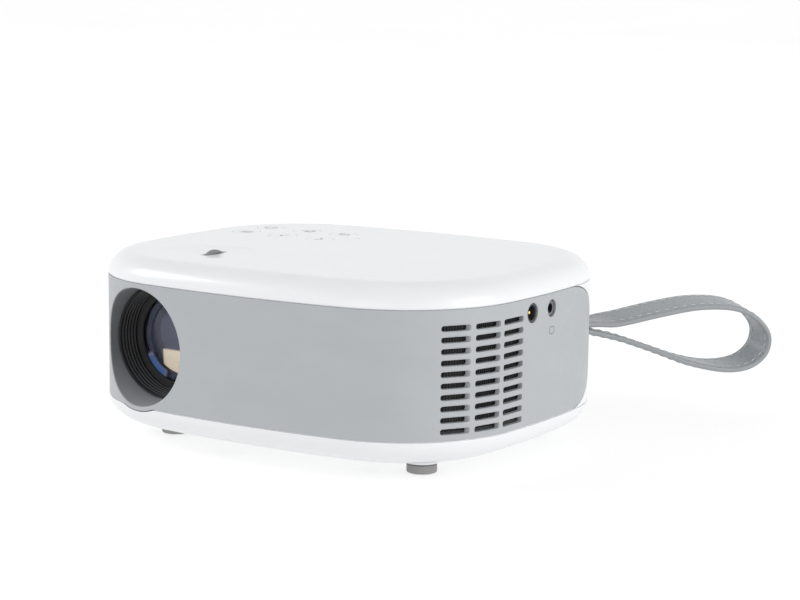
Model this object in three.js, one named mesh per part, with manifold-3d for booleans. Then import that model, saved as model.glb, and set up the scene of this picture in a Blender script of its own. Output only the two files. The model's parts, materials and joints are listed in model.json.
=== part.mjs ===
// Home projector: a rounded box of two white shells round a grey wrap-around band.
// Millimetres, +Z up, the lens looks along -Y, and the feet stand on z = 0.
// Everything is laid out about the middle of the body; the whole group is then
// moved so that the origin is the middle of the overall footprint.
import * as THREE from "three";
import { mergeVertices } from "three/addons/utils/BufferGeometryUtils.js";
import Module from "manifold-3d";

const wasm = await Module();
wasm.setup();

// ---------------------------------------------------------------- dimensions

// Plan of the body: four bowed sides joined by corner arcs.
const HALF_W = 99;
const HALF_D = 82;
const CORNER_R = 54;
const FRONT_BOW = 11;
const SIDE_BOW = 9;

// Heights.
const FOOT_H = 3.7;
const BASE_Z = 5.5;
const BAND_LOW = 18;
const BAND_HIGH = 71;
const TOP_Z = 81.2;
const MID_Z = (BAND_LOW + BAND_HIGH) / 2;

// Shell edges are quarter ellipses that pull in by these amounts.
const TOP_INSET = 11.7;
const BASE_INSET = 21.7;

const WALL = 2.2;
const GAP = 0.3;
const LIP_DEPTH = 1.8;
const LIP_WALL = 1.5;

// Lens opening and optics, all on one axis along Y.
const LENS_X = -55;
const LENS_Z = 43.4;
const OPENING_R = 25.2;
const BOSS_R = 27.2;
const SHROUD_BACK_Y = -50;
const HOOD_FRONT_Y = -60.7;
const HOOD_BACK_Y = -50.6;
const HOOD_R = 24.7;
const HOOD_THROAT_R = 22.6;
const GLASS_Y = -49.4;
const GLASS_R = 20.4;
const SEAT_Y = -46.6;
const STOP_R = 16;
const STOP_BACK_Y = -43.6;
const SHOULDER_R = 17.8;
const SHOULDER_Y = -42.7;
const BORE_R = 13.1;
const BARREL_R = 16.2;
const BARREL_BACK_Y = -14;
const GUIDE_R = 19.2;
const GUIDE_FRONT_Y = -39.5;
const GUIDE_BACK_Y = -22;

// Focus wheel, pinion and rack.
const WHEEL_R = 9.6;
const WHEEL_T = 3.2;
const WHEEL_X = -43;
const WHEEL_Y = -40;
const WHEEL_Z = TOP_Z + 1.6 - WHEEL_R;
const SLOT_HALF_L = 8;
const DISH_HALF_W = 24;
const DISH_HALF_L = 19;
const DISH_DEPTH = 0.9;
const GEAR_TEETH = 12;
const GEAR_PITCH_R = 4.6;
const GEAR_MODULE = (2 * GEAR_PITCH_R) / GEAR_TEETH;
const GEAR_X = -51;
const GEAR_T = 4;
const AXLE_R = 1.5;
const AXLE_FIT = 0.25;

// Vent slots: columns as ranges of y, rows by pitch.
const VENT_COLUMNS_RIGHT = [
  [-60, -49.5],
  [-46.9, -34.4],
  [-31.8, -18.5],
];
const VENT_COLUMNS_LEFT = [
  [-46.9, -34.4],
  [-31.8, -18.5],
  [-15.9, -3.4],
];
const VENT_ROWS = 10;
const VENT_PITCH = 4.63;
const VENT_SLOT_H = 2.7;
const VENT_LOW_Z = 21.7;

// Side sockets.
const DC_Y = -11.2;
const DC_HOLE_R = 4.1;
const AUDIO_Y = 4.4;
const AUDIO_HOLE_R = 3.65;
const SOCKET_Z = 65.2;

// Keys, in two rows of three, and the status light beside them.
const KEY_R = 6.4;
const KEY_TRAVEL = 0.8;
const KEY_COLUMNS = [-71, -50.5, -30];
const KEY_ROWS = [21, 40];
const KEY_NAMES = [
  ["key_menu", "key_left", "key_right"],
  ["key_power", "key_source", "key_back"],
];
const LIGHT_X = -17.9;
const LIGHT_Y = 33.3;
const LIGHT_R = 1.1;

// Feet and the screws that pull the shells together.
const FEET_X = [-61.5, 66.5];
const FEET_Y = [-43.5, 43.5];
const FOOT_R = 6.3;
const FOOT_CHAMFER = 0.5;
const FOOT_BOSS_R = 7.4;
const FOOT_BOSS_H = 1.3;
const FOOT_BOSS_TOP = 4;
const STUD_R = 2.5;
const STUD_TOP_Z = 7;
const STUD_HOLE_R = 2.9;
const STUD_HOLE_Z = [2, 8];
const SCREW_PLACES = [
  ["front_left", -20, -62],
  ["front_right", 48, -55],
  ["rear_left", -36, 55],
  ["rear_right", 46, 56],
];

// Hand strap: a flat band folded into a loop that leaves the rear right corner.
const STRAP_ANGLE = THREE.MathUtils.degToRad(60);
const STRAP_W = 16;
const STRAP_T = 2.4;
const STRAP_Z = 44.5;
const STRAP_HINGE_U = 4;
const STRAP_ROOT_U = -9;

const STRAP_FOLD = STRAP_T / 2 + 0.15;
const STRAP_SLOT = [-8, 8];
const STRAP_SLOT_HALF_H = 3.3;
const STRAP_SLOT_SIDE = 0.8;
const STRAP_STEPS = 34;

// Clamp and screw inside the body that hold the root of the strap.
const CLAMP_U = [-11, -3.8];
const CLAMP_TAIL_U = [-13, -10.7];
const CLAMP_HALF_W = 11;
const CLAMP_V = [2.9, 5];
const CLAMP_SCREW_U = -6;
const CLAMP_HOLE_R = 2;
const CLAMP_HOLE_V = [-9, 4.2];
const CLAMP_SHANK_R = 1.6;
const CLAMP_SHANK_V = [-6, 3.8];
const CLAMP_HEAD_R = 3;
const CLAMP_HEAD_V = [-7.2, -5.3];

// Screw posts of the top shell and wells of the bottom shell.
const POST_R = 3.4;
const POST_LOW_Z = 20;
const PILOT_R = 1.75;
const PILOT_Z = [19, 32];
const WELL_R = 5;
const WELL_TOP_Z = 18;
const HEAD_ROOM_R = 3.4;
const HEAD_ROOM_TOP_Z = 15;
const SHANK_HOLE_R = 1.8;
const SHANK_HOLE_Z = [10, 25];
const HEAD_R = 3;
const HEAD_Z = [12.3, 14.6];
const SHANK_R = 1.45;
const SHANK_Z = [14, 30];
const RECESS_HALF_L = 2;
const RECESS_HALF_W = 0.4;
const RECESS_Z = [12, 13.2];

// Ranges that cutters and trimming blocks use to run past a wall.
const PAST = 1;
const ROOF_CUT_Z = [70, 90];
const SIDE_CUT_X = [80, 110];
const SIDE_CUT_FAR_X = 110;
const REAR_CUT_Y = [60, 95];
const BAND_CUT_Z = [10, 80];
const LENS_CUT_Y = [-95, -44];
const SHROUD_FRONT_Y = -90;
const VENT_CUT_IN = 30;
const VENT_CUT_OUT = 6;
const VENT_SCREEN_X = 60;

// Ends of the grey band: half ellipses at the back corners.
const BAND_STRAIGHT_Y = 22;
const BAND_END_L = 32;

// Rear ports, the remote-control window and the sound grille.
const HDMI_X = 18;
const HDMI_HOLE_HALF_W = 8.2;
const USB_X = 38;
const USB_HOLE_HALF_W = 7.3;
const PORT_Z = 30;
const PORT_HOLE_HALF_H = 3.6;
const PORT_SINK = 1.4;
const PORT_L = 12;
const PORT_WALL = 0.5;
const PORT_BACK_WALL = 2;
const TONGUE_SIDE = 2;
const TONGUE_SINK = 1.5;
const IR_HOLE_R = 3.1;
const IR_R = 2.8;
const IR_Y = [-3.2, -0.6];
const IR_FLANGE_R = 4;
const IR_FLANGE_Y = [-4.4, -3];
const GRILLE_X = -18;
const GRILLE_HALF_W = 16;
const GRILLE_LOW_Z = 34;
const GRILLE_PITCH = 4.4;
const GRILLE_SLOT_H = 2;
const GRILLE_SLOTS = 7;

// Ribs of the hood, lens elements and the retaining ring.
const HOOD_RIBS = 4;
const HOOD_LIP = 0.8;
const RIB_LEAN = 0.4;
const RETAINER_INNER_R = GLASS_R - 1.1;
const RETAINER_Y = [GLASS_Y - 1.4, GLASS_Y - 0.7];
const FRONT_GLASS = { edge: 2.2, front: 2.6, back: 0.2 };
const MIDDLE_GLASS = { y: -45.6, edge: 1.4, front: 0.4, back: 0 };
const REAR_GLASS = { r: 12.6, y: -20, edge: 2, front: 1.5, back: 1.5 };

// Lens guide: a sleeve on a flange, with ears for the focus axle.
const GUIDE_FIT = 0.35;
const FLANGE_HALF_W = 25;
const FLANGE_HALF_H = 19.5;
const FLANGE_R = 4;
const FLANGE_T = 2.5;
const EAR_T = 2;
const EAR_CLEAR = 1.2;
const EAR_FOOT_Z = 8;
const EAR_BACK = 7;
const EAR_HEAD_FRONT = -3;
const EAR_STEM_FRONT = 1;
const EAR_STEM_TOP = -5;
const EAR_HEAD_LOW = -6;
const EAR_HEAD_TOP = 3.4;
const RACK_SLOT_CLEAR = 0.6;
const RACK_SLOT_Z = [10, 30];
const GUIDE_CUT_FRONT_Y = -60;
const AXLE_CUT_X = [-90, 40];

// Focus gearing.
const TOOTH_THIN = 0.38;
const PRESSURE = THREE.MathUtils.degToRad(20);
const GEAR_ADDENDUM = 0.8;
const RACK_ADDENDUM = 0.7;
const DEDENDUM = 1.1;
const RACK_T = 2;
const RACK_TEETH = 5;
const STEM_LOW_Z = 10;
const STEM_BACK = 4.5;
const STEM_SINK = 0.1;
const WHEEL_NOTCHES = 24;
const NOTCH_DEPTH = 0.55;
const WHEEL_CLEAR = 0.45;
const WHEEL_SLOT_DEPTH = 10;
const AXLE_END = 2.6;

// Thumb dish: an ellipsoid sunk by this share of its own height.
const DISH_SHARE = 0.9;
const DISH_SHIFT_X = -2;

// Key caps, rubber mat and key board.
const KEY_HOLE_FIT = 0.35;
const KEY_CAP_T = 2.6;
const KEY_CHAMFER = 0.4;
const KEY_STEM_R = 1.6;
const KEY_STEM_L = 1.6;
const KEY_STEM_SINK = 0.5;
const LIGHT_FIT = 0.3;
const MAT_Z = TOP_Z - 9;
const MAT_T = 1.2;
const MAT_PLAN = [-82, -14, 11, 50, 4];
const DOME_R = 4.5;
const DOME_TOP_R = 2.4;
const DOME_Z = [1, 3.6];
const MAT_LIGHT_R = 2.2;
const MAT_CUT_Z = [60, 90];
const KEY_BOARD_Z = [MAT_Z - 1.9, MAT_Z - 0.3];
const LIGHT_LOW_Z = MAT_Z + 0.4;

// Screens behind the vents, and the fan.
const SCREEN_GAP = 0.5;
const SCREEN_T = 0.8;
const SCREEN_Z = [20.5, 68.5];
const SCREEN_MARGIN = 1.5;
const FAN_X = [56, 71];
const FAN_Y = -32;
const FAN_HALF = 24;
const FAN_TUNNEL_R = 22.8;
const MOTOR_R = 6;
const MOTOR_BORE_R = 2.6;
const MOTOR_L = 2;
const ARM_T = 1.6;
const ARM_HALF_W = 2;
const ARM_SPAN = [5, 23.5];
const HUB_R = 10;
const HUB_FRONT = 3;
const HUB_BACK = 1;
const STUB_R = 2.2;
const STUB_X = [0.4, 4];
const BLADES = 7;
const BLADE_HALF_L = 5.5;
const BLADE_HALF_T = 0.7;
const BLADE_REACH = [9, 21.6];
const BLADE_TWIST = 38;
const BLADE_SHIFT = 1;

// Power socket, measured back from its face.
const DC_FACE_X = 97;
const DC_BODY_X = [-12, -2];
const DC_BODY_HALF_W = 4.7;
const DC_BODY_Z = [60.2, 68.8];
const DC_NOSE_R = 3.8;
const DC_NOSE_X = [-3, 1.4];
const DC_WELL_R = 2.95;
const DC_WELL_BACK = -9;
const DC_PIN_HOLE_R = 1.3;
const DC_PIN_HOLE_BACK = -13;
const DC_PIN_R = 0.95;
const DC_PIN_TIP_R = 0.5;
const DC_PIN_X = [-12, -2, -1.4];

// Audio socket, measured back from the same face.
const AUDIO_BODY_X = [-14, -2];
const AUDIO_BODY_HALF_W = 3.9;
const AUDIO_BODY_Z = [61.2, 69.2];
const AUDIO_BODY_BORE_R = 2.7;
const AUDIO_BODY_BORE_BACK = -12;
const COLLAR_BORE_R = 1.8;
const COLLAR_R = 2.4;
const COLLAR_X = [-11, 1.2];
const COLLAR_FLANGE_R = 3.35;
const COLLAR_FLANGE_X = [-0.6, 1.2];

// Light engine: a box of flat optical sheets in front of the lamp.
const BOX_X = [-84, -28];
const BOX_Z = [21, 65];
const BOX_WALL = 2;
const ENGINE_FRONT_Y = GUIDE_BACK_Y + FLANGE_T + GAP;
const ENGINE_BACK_Y = 40;
const LIGHT_PATH_R = 17.5;
const LIGHT_PATH_Y = [-30, 60];
const LID_T = 1.6;
const SHEET_X = -56;
const SHEET_HALF_W = 25.5;
const SHEET_Z = [-19.9, 20.5];
const CONDENSER = { r: 16.5, y: 24, edge: 2, front: 5, back: 0 };
const LED_PLATE = [-20, 20, 40.4, 42.4, -19, 19];
const EMITTER_R = 9;
const EMITTER_Y = [34, 41];
const SINK_BASE = [-20, 12, 42.8, 46.8, -20, 20];
const FIN_X = [-20, -18.6];
const FIN_Y = [46, 60];
const FIN_Z = [-20, 20];
const FIN_PITCH = 4.3;
const FINS = 8;

// Main board with blocks for its chips, coils and plugs.
const BOARD_PLAN = [-22, 76, -2, 66, 3];
const BOARD_Z = [21.5, 23.1];
const BOARD_INSET = WALL + 5;
const CHIPS = [
  [0, 15, 14, 29, 23, 25],
  [24, 34, 12, 22, 23, 24.6],
  [24, 34, 26, 36, 23, 24.6],
  [40, 48, 26, 34, 23, 28],
];
const CAPACITOR_R = 4;
const CAPACITOR_Z = [23, 32];
const CAPACITORS = [
  [54, 10],
  [64, 10],
];
const BOARD_SCREW_ROOM_R = 5.4;
const BOARD_SCREW_ROOM_Z = [10, 40];

// Speaker: frame steps as [radius, from y, to y, sides], and the cone's section.
const SPEAKER_AT = [GRILLE_X, 8, 48];
const SPEAKER_STEPS = [
  [17, 63, 66, 24],
  [15, 55, 64, 24],
  [10, 50, 56, 16],
];
const SPEAKER_BORE_R = 13.2;
const SPEAKER_BORE_Y = [57, 80];
const CONE_SECTION = [
  [0, 59],
  [4.5, 59],
  [5, 59.6],
  [12.6, 63.4],
  [12.6, 64.2],
  [5, 60.6],
  [0, 61.4],
];

// Numbers of sides of round faces, from small holes to the lens opening.
const TINY_ROUND = 8;
const STUD_ROUND = 10;
const SMALL_ROUND = 12;
const ROUND = 16;
const KEY_ROUND = 20;
const LARGE_ROUND = 24;
const FINE_ROUND = 28;
const OPENING_ROUND = 40;
const CORNER_STEPS = 6;

// ----------------------------------------------------------------- materials

const finish = (color, roughness, metalness = 0) =>
  new THREE.MeshStandardMaterial({ color, roughness, metalness });

const WHITE = finish("#f2f3f5", 0.35);
const GREY = finish("#b3b7ba", 0.5);
const BLACK = finish("#202124", 0.6);
const RUBBER = finish("#8d8c8b", 0.85);
const LEATHER = finish("#8f9395", 0.7);
const STEEL = finish("#b9babd", 0.3, 1);
const BRASS = finish("#d9b25c", 0.3, 1);
const ALUMINIUM = finish("#c3c5c8", 0.45, 1);
const BOARD = finish("#1f6b45", 0.6);
const SILICONE = finish("#d9dadb", 0.8);
const GLASS = finish("#a9b6c8", 0.05);
const PAPER = finish("#3b3a38", 0.9);

// --------------------------------------------------------- geometry to solid

// A closed three.js geometry as a manifold solid, turned outward if need be.
function solid(geometry) {
  const bare = geometry.clone();
  for (const name of ["normal", "uv"]) bare.deleteAttribute(name);
  const merged = mergeVertices(bare, 1e-4);
  const triVerts = new Uint32Array(merged.index.array);
  const vertProperties = new Float32Array(merged.attributes.position.array);
  const made = new wasm.Manifold(
    new wasm.Mesh({ numProp: 3, vertProperties, triVerts }),
  );
  if (made.volume() >= 0) return made;
  for (let i = 0; i < triVerts.length; i += 3)
    [triVerts[i + 1], triVerts[i + 2]] = [triVerts[i + 2], triVerts[i + 1]];
  return new wasm.Manifold(
    new wasm.Mesh({ numProp: 3, vertProperties, triVerts }),
  );
}

function toGeometry(made) {
  const mesh = made.getMesh();
  const positions = new Float32Array(mesh.numVert * 3);
  for (let i = 0; i < mesh.numVert; i++) {
    const start = i * mesh.numProp;
    positions.set(mesh.vertProperties.subarray(start, start + 3), i * 3);
  }
  return new THREE.BufferGeometry()
    .setAttribute("position", new THREE.BufferAttribute(positions, 3))
    .setIndex(new THREE.BufferAttribute(mesh.triVerts, 1));
}

const joined = (...solids) => solids.reduce((a, b) => a.add(b));
const without = (base, ...cuts) => cuts.reduce((a, b) => a.subtract(b), base);

function block(x0, x1, y0, y1, z0, z1) {
  const box = new THREE.BoxGeometry(x1 - x0, y1 - y0, z1 - z0);
  box.translate((x0 + x1) / 2, (y0 + y1) / 2, (z0 + z1) / 2);
  return solid(box);
}

// A round bar between two points on a line along one axis.
function bar(axis, r, from, to, [a, b] = [0, 0], sides = ROUND, rEnd = r) {
  const rod = new THREE.CylinderGeometry(rEnd, r, to - from, sides);
  rod.translate(0, (from + to) / 2, 0);
  if (axis === "x") rod.rotateZ(-Math.PI / 2).translate(0, a, b);
  if (axis === "y") rod.translate(a, 0, b);
  if (axis === "z") rod.rotateX(Math.PI / 2).translate(a, b, 0);
  return solid(rod);
}

const tube = (axis, outer, inner, from, to, centre, sides = ROUND) =>
  bar(axis, outer, from, to, centre, sides).subtract(
    bar(axis, inner, from - 1, to + 1, centre, sides),
  );

// A solid of revolution about Y, from [radius, y] pairs.
const turned = (profile, sides = FINE_ROUND) =>
  solid(
    new THREE.LatheGeometry(
      profile.map(([r, y]) => new THREE.Vector2(r, y)),
      sides,
    ),
  );

// Prisms of a THREE.Shape: drawn in (x, y), in (y, z), and in (x, z).
function prismZ(shape, z0, z1, curveSegments = 6) {
  const made = new THREE.ExtrudeGeometry(shape, {
    depth: z1 - z0,
    bevelEnabled: false,
    curveSegments,
  });
  return solid(made.translate(0, 0, z0));
}

function prismX(shape, x0, x1, curveSegments = 6) {
  const made = new THREE.ExtrudeGeometry(shape, {
    depth: x1 - x0,
    bevelEnabled: false,
    curveSegments,
  });
  const basis = new THREE.Matrix4().makeBasis(
    new THREE.Vector3(0, 1, 0),
    new THREE.Vector3(0, 0, 1),
    new THREE.Vector3(1, 0, 0),
  );
  return solid(made.applyMatrix4(basis).translate(x0, 0, 0));
}

function prismY(shape, y0, y1, curveSegments = 6) {
  const made = new THREE.ExtrudeGeometry(shape, {
    depth: y1 - y0,
    bevelEnabled: false,
    curveSegments,
  });
  return solid(made.rotateX(Math.PI / 2).translate(0, y1, 0));
}

function roundedRectangle(x0, x1, y0, y1, r) {
  const s = new THREE.Shape();
  s.moveTo(x0 + r, y0).lineTo(x1 - r, y0);
  s.absarc(x1 - r, y0 + r, r, -Math.PI / 2, 0);
  s.lineTo(x1, y1 - r).absarc(x1 - r, y1 - r, r, 0, Math.PI / 2);
  s.lineTo(x0 + r, y1).absarc(x0 + r, y1 - r, r, Math.PI / 2, Math.PI);
  s.lineTo(x0, y0 + r).absarc(x0 + r, y0 + r, r, Math.PI, 1.5 * Math.PI);
  return s;
}

// ------------------------------------------------------------- body outline

// Radius of the arc that bows out by `bow` over a half chord.
const bowRadius = (half, bow) => (half * half + bow * bow) / (2 * bow);
const FRONT_R = bowRadius(HALF_W, FRONT_BOW);
const SIDE_R = bowRadius(HALF_D, SIDE_BOW);
const FRONT_CENTRE = new THREE.Vector2(0, FRONT_R - HALF_D);
const SIDE_CENTRE = new THREE.Vector2(HALF_W - SIDE_R, 0);
const CORNER_CENTRE = cornerCentre();

// The front right corner arc touches the front arc and the side arc from inside.
function cornerCentre() {
  const toFront = FRONT_R - CORNER_R;
  const toSide = SIDE_R - CORNER_R;
  const line = SIDE_CENTRE.clone().sub(FRONT_CENTRE);
  const length = line.length();
  const along = (toFront ** 2 - toSide ** 2 + length ** 2) / (2 * length);
  const across = Math.sqrt(toFront ** 2 - along ** 2);
  line.normalize();
  return new THREE.Vector2(
    FRONT_CENTRE.x + line.x * along - line.y * across,
    FRONT_CENTRE.y + line.y * along + line.x * across,
  );
}

// Points round the body, counterclockwise from the front middle, pulled in by inset.
function outline(inset = 0, cornerSteps = CORNER_STEPS) {
  const quarter = [];
  const angleFrom = (centre) =>
    Math.atan2(CORNER_CENTRE.y - centre.y, CORNER_CENTRE.x - centre.x);
  const toCorner = angleFrom(FRONT_CENTRE);
  const toSide = angleFrom(SIDE_CENTRE);
  const arc = (centre, radius, from, to, steps, first) => {
    for (let i = first; i <= steps; i++) {
      const angle = from + ((to - from) * i) / steps;
      quarter.push([
        centre.x + (radius - inset) * Math.cos(angle),
        centre.y + (radius - inset) * Math.sin(angle),
      ]);
    }
  };
  arc(FRONT_CENTRE, FRONT_R, -Math.PI / 2, toCorner, 3, 0);
  arc(CORNER_CENTRE, CORNER_R, toCorner, toSide, cornerSteps, 1);
  arc(SIDE_CENTRE, SIDE_R, toSide, 0, 2, 1);
  const back = quarter.slice(0, -1).reverse();
  const right = [...quarter, ...back.map(([x, y]) => [x, -y])];
  const left = right.slice(1, -1).reverse();
  return [...right, ...left.map(([x, y]) => [-x, y])].map(
    ([x, y]) => new THREE.Vector2(x, y),
  );
}

// A solid skinned over [z, inset] levels of the outline.
function loft(levels, cornerSteps) {
  const rings = levels.map(([z, inset]) =>
    outline(inset, cornerSteps).map((p) => [p.x, p.y, z]),
  );
  const count = rings[0].length;
  const positions = rings.flat(2);
  positions.push(0, 0, levels[0][0], 0, 0, levels.at(-1)[0]);
  const lowCentre = rings.length * count;
  const index = [];
  for (let i = 0; i < count; i++) {
    const j = (i + 1) % count;
    for (let k = 0; k < rings.length - 1; k++) {
      const low = k * count;
      const high = low + count;
      index.push(low + i, low + j, high + j, low + i, high + j, high + i);
    }
    const top = (rings.length - 1) * count;
    index.push(lowCentre, j, i, lowCentre + 1, top + i, top + j);
  }
  const made = new THREE.BufferGeometry();
  made.setAttribute("position", new THREE.Float32BufferAttribute(positions, 3));
  return solid(made.setIndex(index));
}

const plug = (inset, z0, z1) =>
  loft([
    [z0, inset],
    [z1, inset],
  ]);
const ring = (outer, inner, z0, z1) =>
  plug(outer, z0, z1).subtract(plug(inner, z0 - 1, z1 + 1));

// Levels of a shell edge: straight at seamZ, then a quarter ellipse to faceZ.
function shellLevels(seamZ, bandZ, faceZ, from, to, steps = 5) {
  const levels = [[seamZ, from]];
  for (let i = 1; i <= steps; i++) {
    const angle = (i / steps) * (Math.PI / 2);
    levels.push([
      bandZ + (faceZ - bandZ) * Math.sin(angle),
      from + (to - from) * (1 - Math.cos(angle)),
    ]);
  }
  return levels;
}

// ------------------------------------------------------------ scene assembly

const projector = new THREE.Group();

function add(name, made, material, parent = projector) {
  const mesh = new THREE.Mesh(toGeometry(made), material);
  mesh.name = name;
  parent.add(mesh);
  return mesh;
}

// -------------------------------------------------------------------- shells

const lensCut = (r) => bar("y", r, ...LENS_CUT_Y, [LENS_X, LENS_Z], OPENING_ROUND);

// A wide ellipsoid whose lowest cap is the thumb dish round the focus wheel.
function thumbDish() {
  const spread = Math.sqrt(1 - DISH_SHARE ** 2);
  const height = DISH_DEPTH / (1 - DISH_SHARE);
  const ball = new THREE.SphereGeometry(1, LARGE_ROUND, LARGE_ROUND);
  ball.rotateX(Math.PI / 2);
  ball.scale(DISH_HALF_W / spread, DISH_HALF_L / spread, height);
  ball.translate(WHEEL_X + DISH_SHIFT_X, WHEEL_Y, TOP_Z + DISH_SHARE * height);
  return solid(ball);
}

// The rim inside a shell that steps into the band.
const shellLip = (from, to) =>
  ring(WALL + GAP, WALL + GAP + LIP_WALL, from, to);

const atScrews = (make) => SCREW_PLACES.map(([, x, y]) => make([x, y]));

function topShell() {
  const seam = BAND_HIGH + GAP;
  const outer = loft(shellLevels(seam, BAND_HIGH, TOP_Z, 0, TOP_INSET));
  const inner = loft(
    shellLevels(seam - PAST, BAND_HIGH, TOP_Z - WALL, WALL, TOP_INSET, 2),
    CORNER_STEPS - 2,
  );
  const lip = shellLip(BAND_HIGH - LIP_DEPTH, seam + PAST);
  const postTop = TOP_Z - WALL / 2;
  const posts = atScrews((at) =>
    bar("z", POST_R, POST_LOW_Z, postTop, at, STUD_ROUND),
  );
  const pilots = atScrews((at) => bar("z", PILOT_R, ...PILOT_Z, at, TINY_ROUND));
  const slot = block(
    WHEEL_X - WHEEL_T / 2 - WHEEL_CLEAR,
    WHEEL_X + WHEEL_T / 2 + WHEEL_CLEAR,
    WHEEL_Y - SLOT_HALF_L,
    WHEEL_Y + SLOT_HALF_L,
    TOP_Z - WHEEL_SLOT_DEPTH,
    TOP_Z + PAST,
  );
  const holeR = KEY_R + KEY_HOLE_FIT;
  const keyHoles = KEY_COLUMNS.flatMap((x) =>
    KEY_ROWS.map((y) => bar("z", holeR, ...ROOF_CUT_Z, [x, y], KEY_ROUND)),
  );
  const lightAt = [LIGHT_X, LIGHT_Y];
  const lightHole = bar("z", LIGHT_R + LIGHT_FIT, ...ROOF_CUT_Z, lightAt, SMALL_ROUND);
  return without(
    joined(outer.subtract(inner), lip, ...posts),
    ...pilots,
    slot,
    thumbDish(),
    ...keyHoles,
    lightHole,
    lensCut(BOSS_R + GAP),
  );
}

function bottomShell() {
  const seam = BAND_LOW - GAP;
  const outer = loft(shellLevels(seam, BAND_LOW, BASE_Z, 0, BASE_INSET));
  const inner = loft(
    shellLevels(seam + PAST, BAND_LOW, BASE_Z + WALL, WALL, BASE_INSET, 3),
    CORNER_STEPS - 2,
  );
  const lip = shellLip(seam - PAST, BAND_LOW + LIP_DEPTH);
  const corners = FEET_X.flatMap((x) => FEET_Y.map((y) => [x, y]));
  const bossZ = [BASE_Z - FOOT_BOSS_H, BASE_Z + FOOT_BOSS_TOP];
  const bosses = corners.map((at) =>
    bar("z", FOOT_BOSS_R, ...bossZ, at, KEY_ROUND),
  );
  const studHoles = corners.map((at) =>
    bar("z", STUD_HOLE_R, ...STUD_HOLE_Z, at, STUD_ROUND),
  );
  const wellLow = BASE_Z + WALL / 4;
  const wells = atScrews((at) =>
    bar("z", WELL_R, wellLow, WELL_TOP_Z, at, SMALL_ROUND),
  );
  const heads = atScrews((at) =>
    bar("z", HEAD_ROOM_R, 0, HEAD_ROOM_TOP_Z, at, SMALL_ROUND),
  );
  const shanks = atScrews((at) =>
    bar("z", SHANK_HOLE_R, ...SHANK_HOLE_Z, at, TINY_ROUND),
  );
  return without(
    joined(outer.subtract(inner), lip, ...bosses, ...wells),
    ...studHoles,
    ...heads,
    ...shanks,
    lensCut(BOSS_R + GAP),
  );
}

// The band wraps the front and both sides and ends in half ellipses at the back corners.
function bandProfile(grow) {
  const halfH = (BAND_HIGH - BAND_LOW) / 2 + grow;
  const endL = BAND_END_L + grow;
  const frontY = 2 * -HALF_D;
  const quarterTurn = Math.PI / 2;
  const s = new THREE.Shape();
  s.moveTo(frontY, MID_Z - halfH).lineTo(BAND_STRAIGHT_Y, MID_Z - halfH);
  s.absellipse(BAND_STRAIGHT_Y, MID_Z, endL, halfH, -quarterTurn, quarterTurn);
  s.lineTo(frontY, MID_Z + halfH);
  return prismX(s, -2 * HALF_W, 2 * HALF_W, ROUND);
}

function ventSlots(side, columns) {
  const ends = [side * (HALF_W - VENT_CUT_IN), side * (HALF_W + VENT_CUT_OUT)];
  const x = [Math.min(...ends), Math.max(...ends)];
  const slots = [];
  for (let row = 0; row < VENT_ROWS; row++) {
    const z = VENT_LOW_Z + row * VENT_PITCH - VENT_SLOT_H / 2;
    for (const [y0, y1] of columns)
      slots.push(block(...x, y0, y1, z, z + VENT_SLOT_H));
  }
  return slots;
}

function frontBand() {
  const wall = ring(0, WALL, BAND_LOW, BAND_HIGH).intersect(bandProfile(0));
  const boss = ring(0, WALL, ...BAND_CUT_Z).intersect(lensCut(BOSS_R));
  const axis = [LENS_X, LENS_Z];
  const tunnel = bar("y", BOSS_R, SHROUD_FRONT_Y, SHROUD_BACK_Y, axis, OPENING_ROUND);
  const shroud = tunnel.intersect(plug(WALL - GAP, ...BAND_CUT_Z));
  const sockets = [
    bar("x", DC_HOLE_R, ...SIDE_CUT_X, [DC_Y, SOCKET_Z], KEY_ROUND),
    bar("x", AUDIO_HOLE_R, ...SIDE_CUT_X, [AUDIO_Y, SOCKET_Z], KEY_ROUND),
  ];
  return without(
    joined(wall, boss, shroud),
    lensCut(OPENING_R),
    ...ventSlots(1, VENT_COLUMNS_RIGHT),
    ...ventSlots(-1, VENT_COLUMNS_LEFT),
    ...sockets,
  );
}

// Unit vectors of the strap: out of the corner, and across its width.
const STRAP_OUT = new THREE.Vector3(
  Math.cos(STRAP_ANGLE),
  Math.sin(STRAP_ANGLE),
  0,
);
const STRAP_ACROSS = new THREE.Vector3(-STRAP_OUT.y, STRAP_OUT.x, 0);
const STRAP_EXIT = new THREE.Vector3(
  CORNER_CENTRE.x + CORNER_R * STRAP_OUT.x,
  -CORNER_CENTRE.y + CORNER_R * STRAP_OUT.y,
  STRAP_Z,
);

// Moves a solid drawn in (out, across, up) about the strap's exit into the body frame.
function atStrap(made) {
  const m = new THREE.Matrix4();
  m.makeBasis(STRAP_OUT, STRAP_ACROSS, new THREE.Vector3(0, 0, 1));
  m.setPosition(STRAP_EXIT);
  return made.transform(m.elements.slice());
}

// A hole through the rear wall, as wide and high as its half sizes about [x, z].
const rearHole = (x, z, halfW, halfH) =>
  block(x - halfW, x + halfW, ...REAR_CUT_Y, z - halfH, z + halfH);

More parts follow.
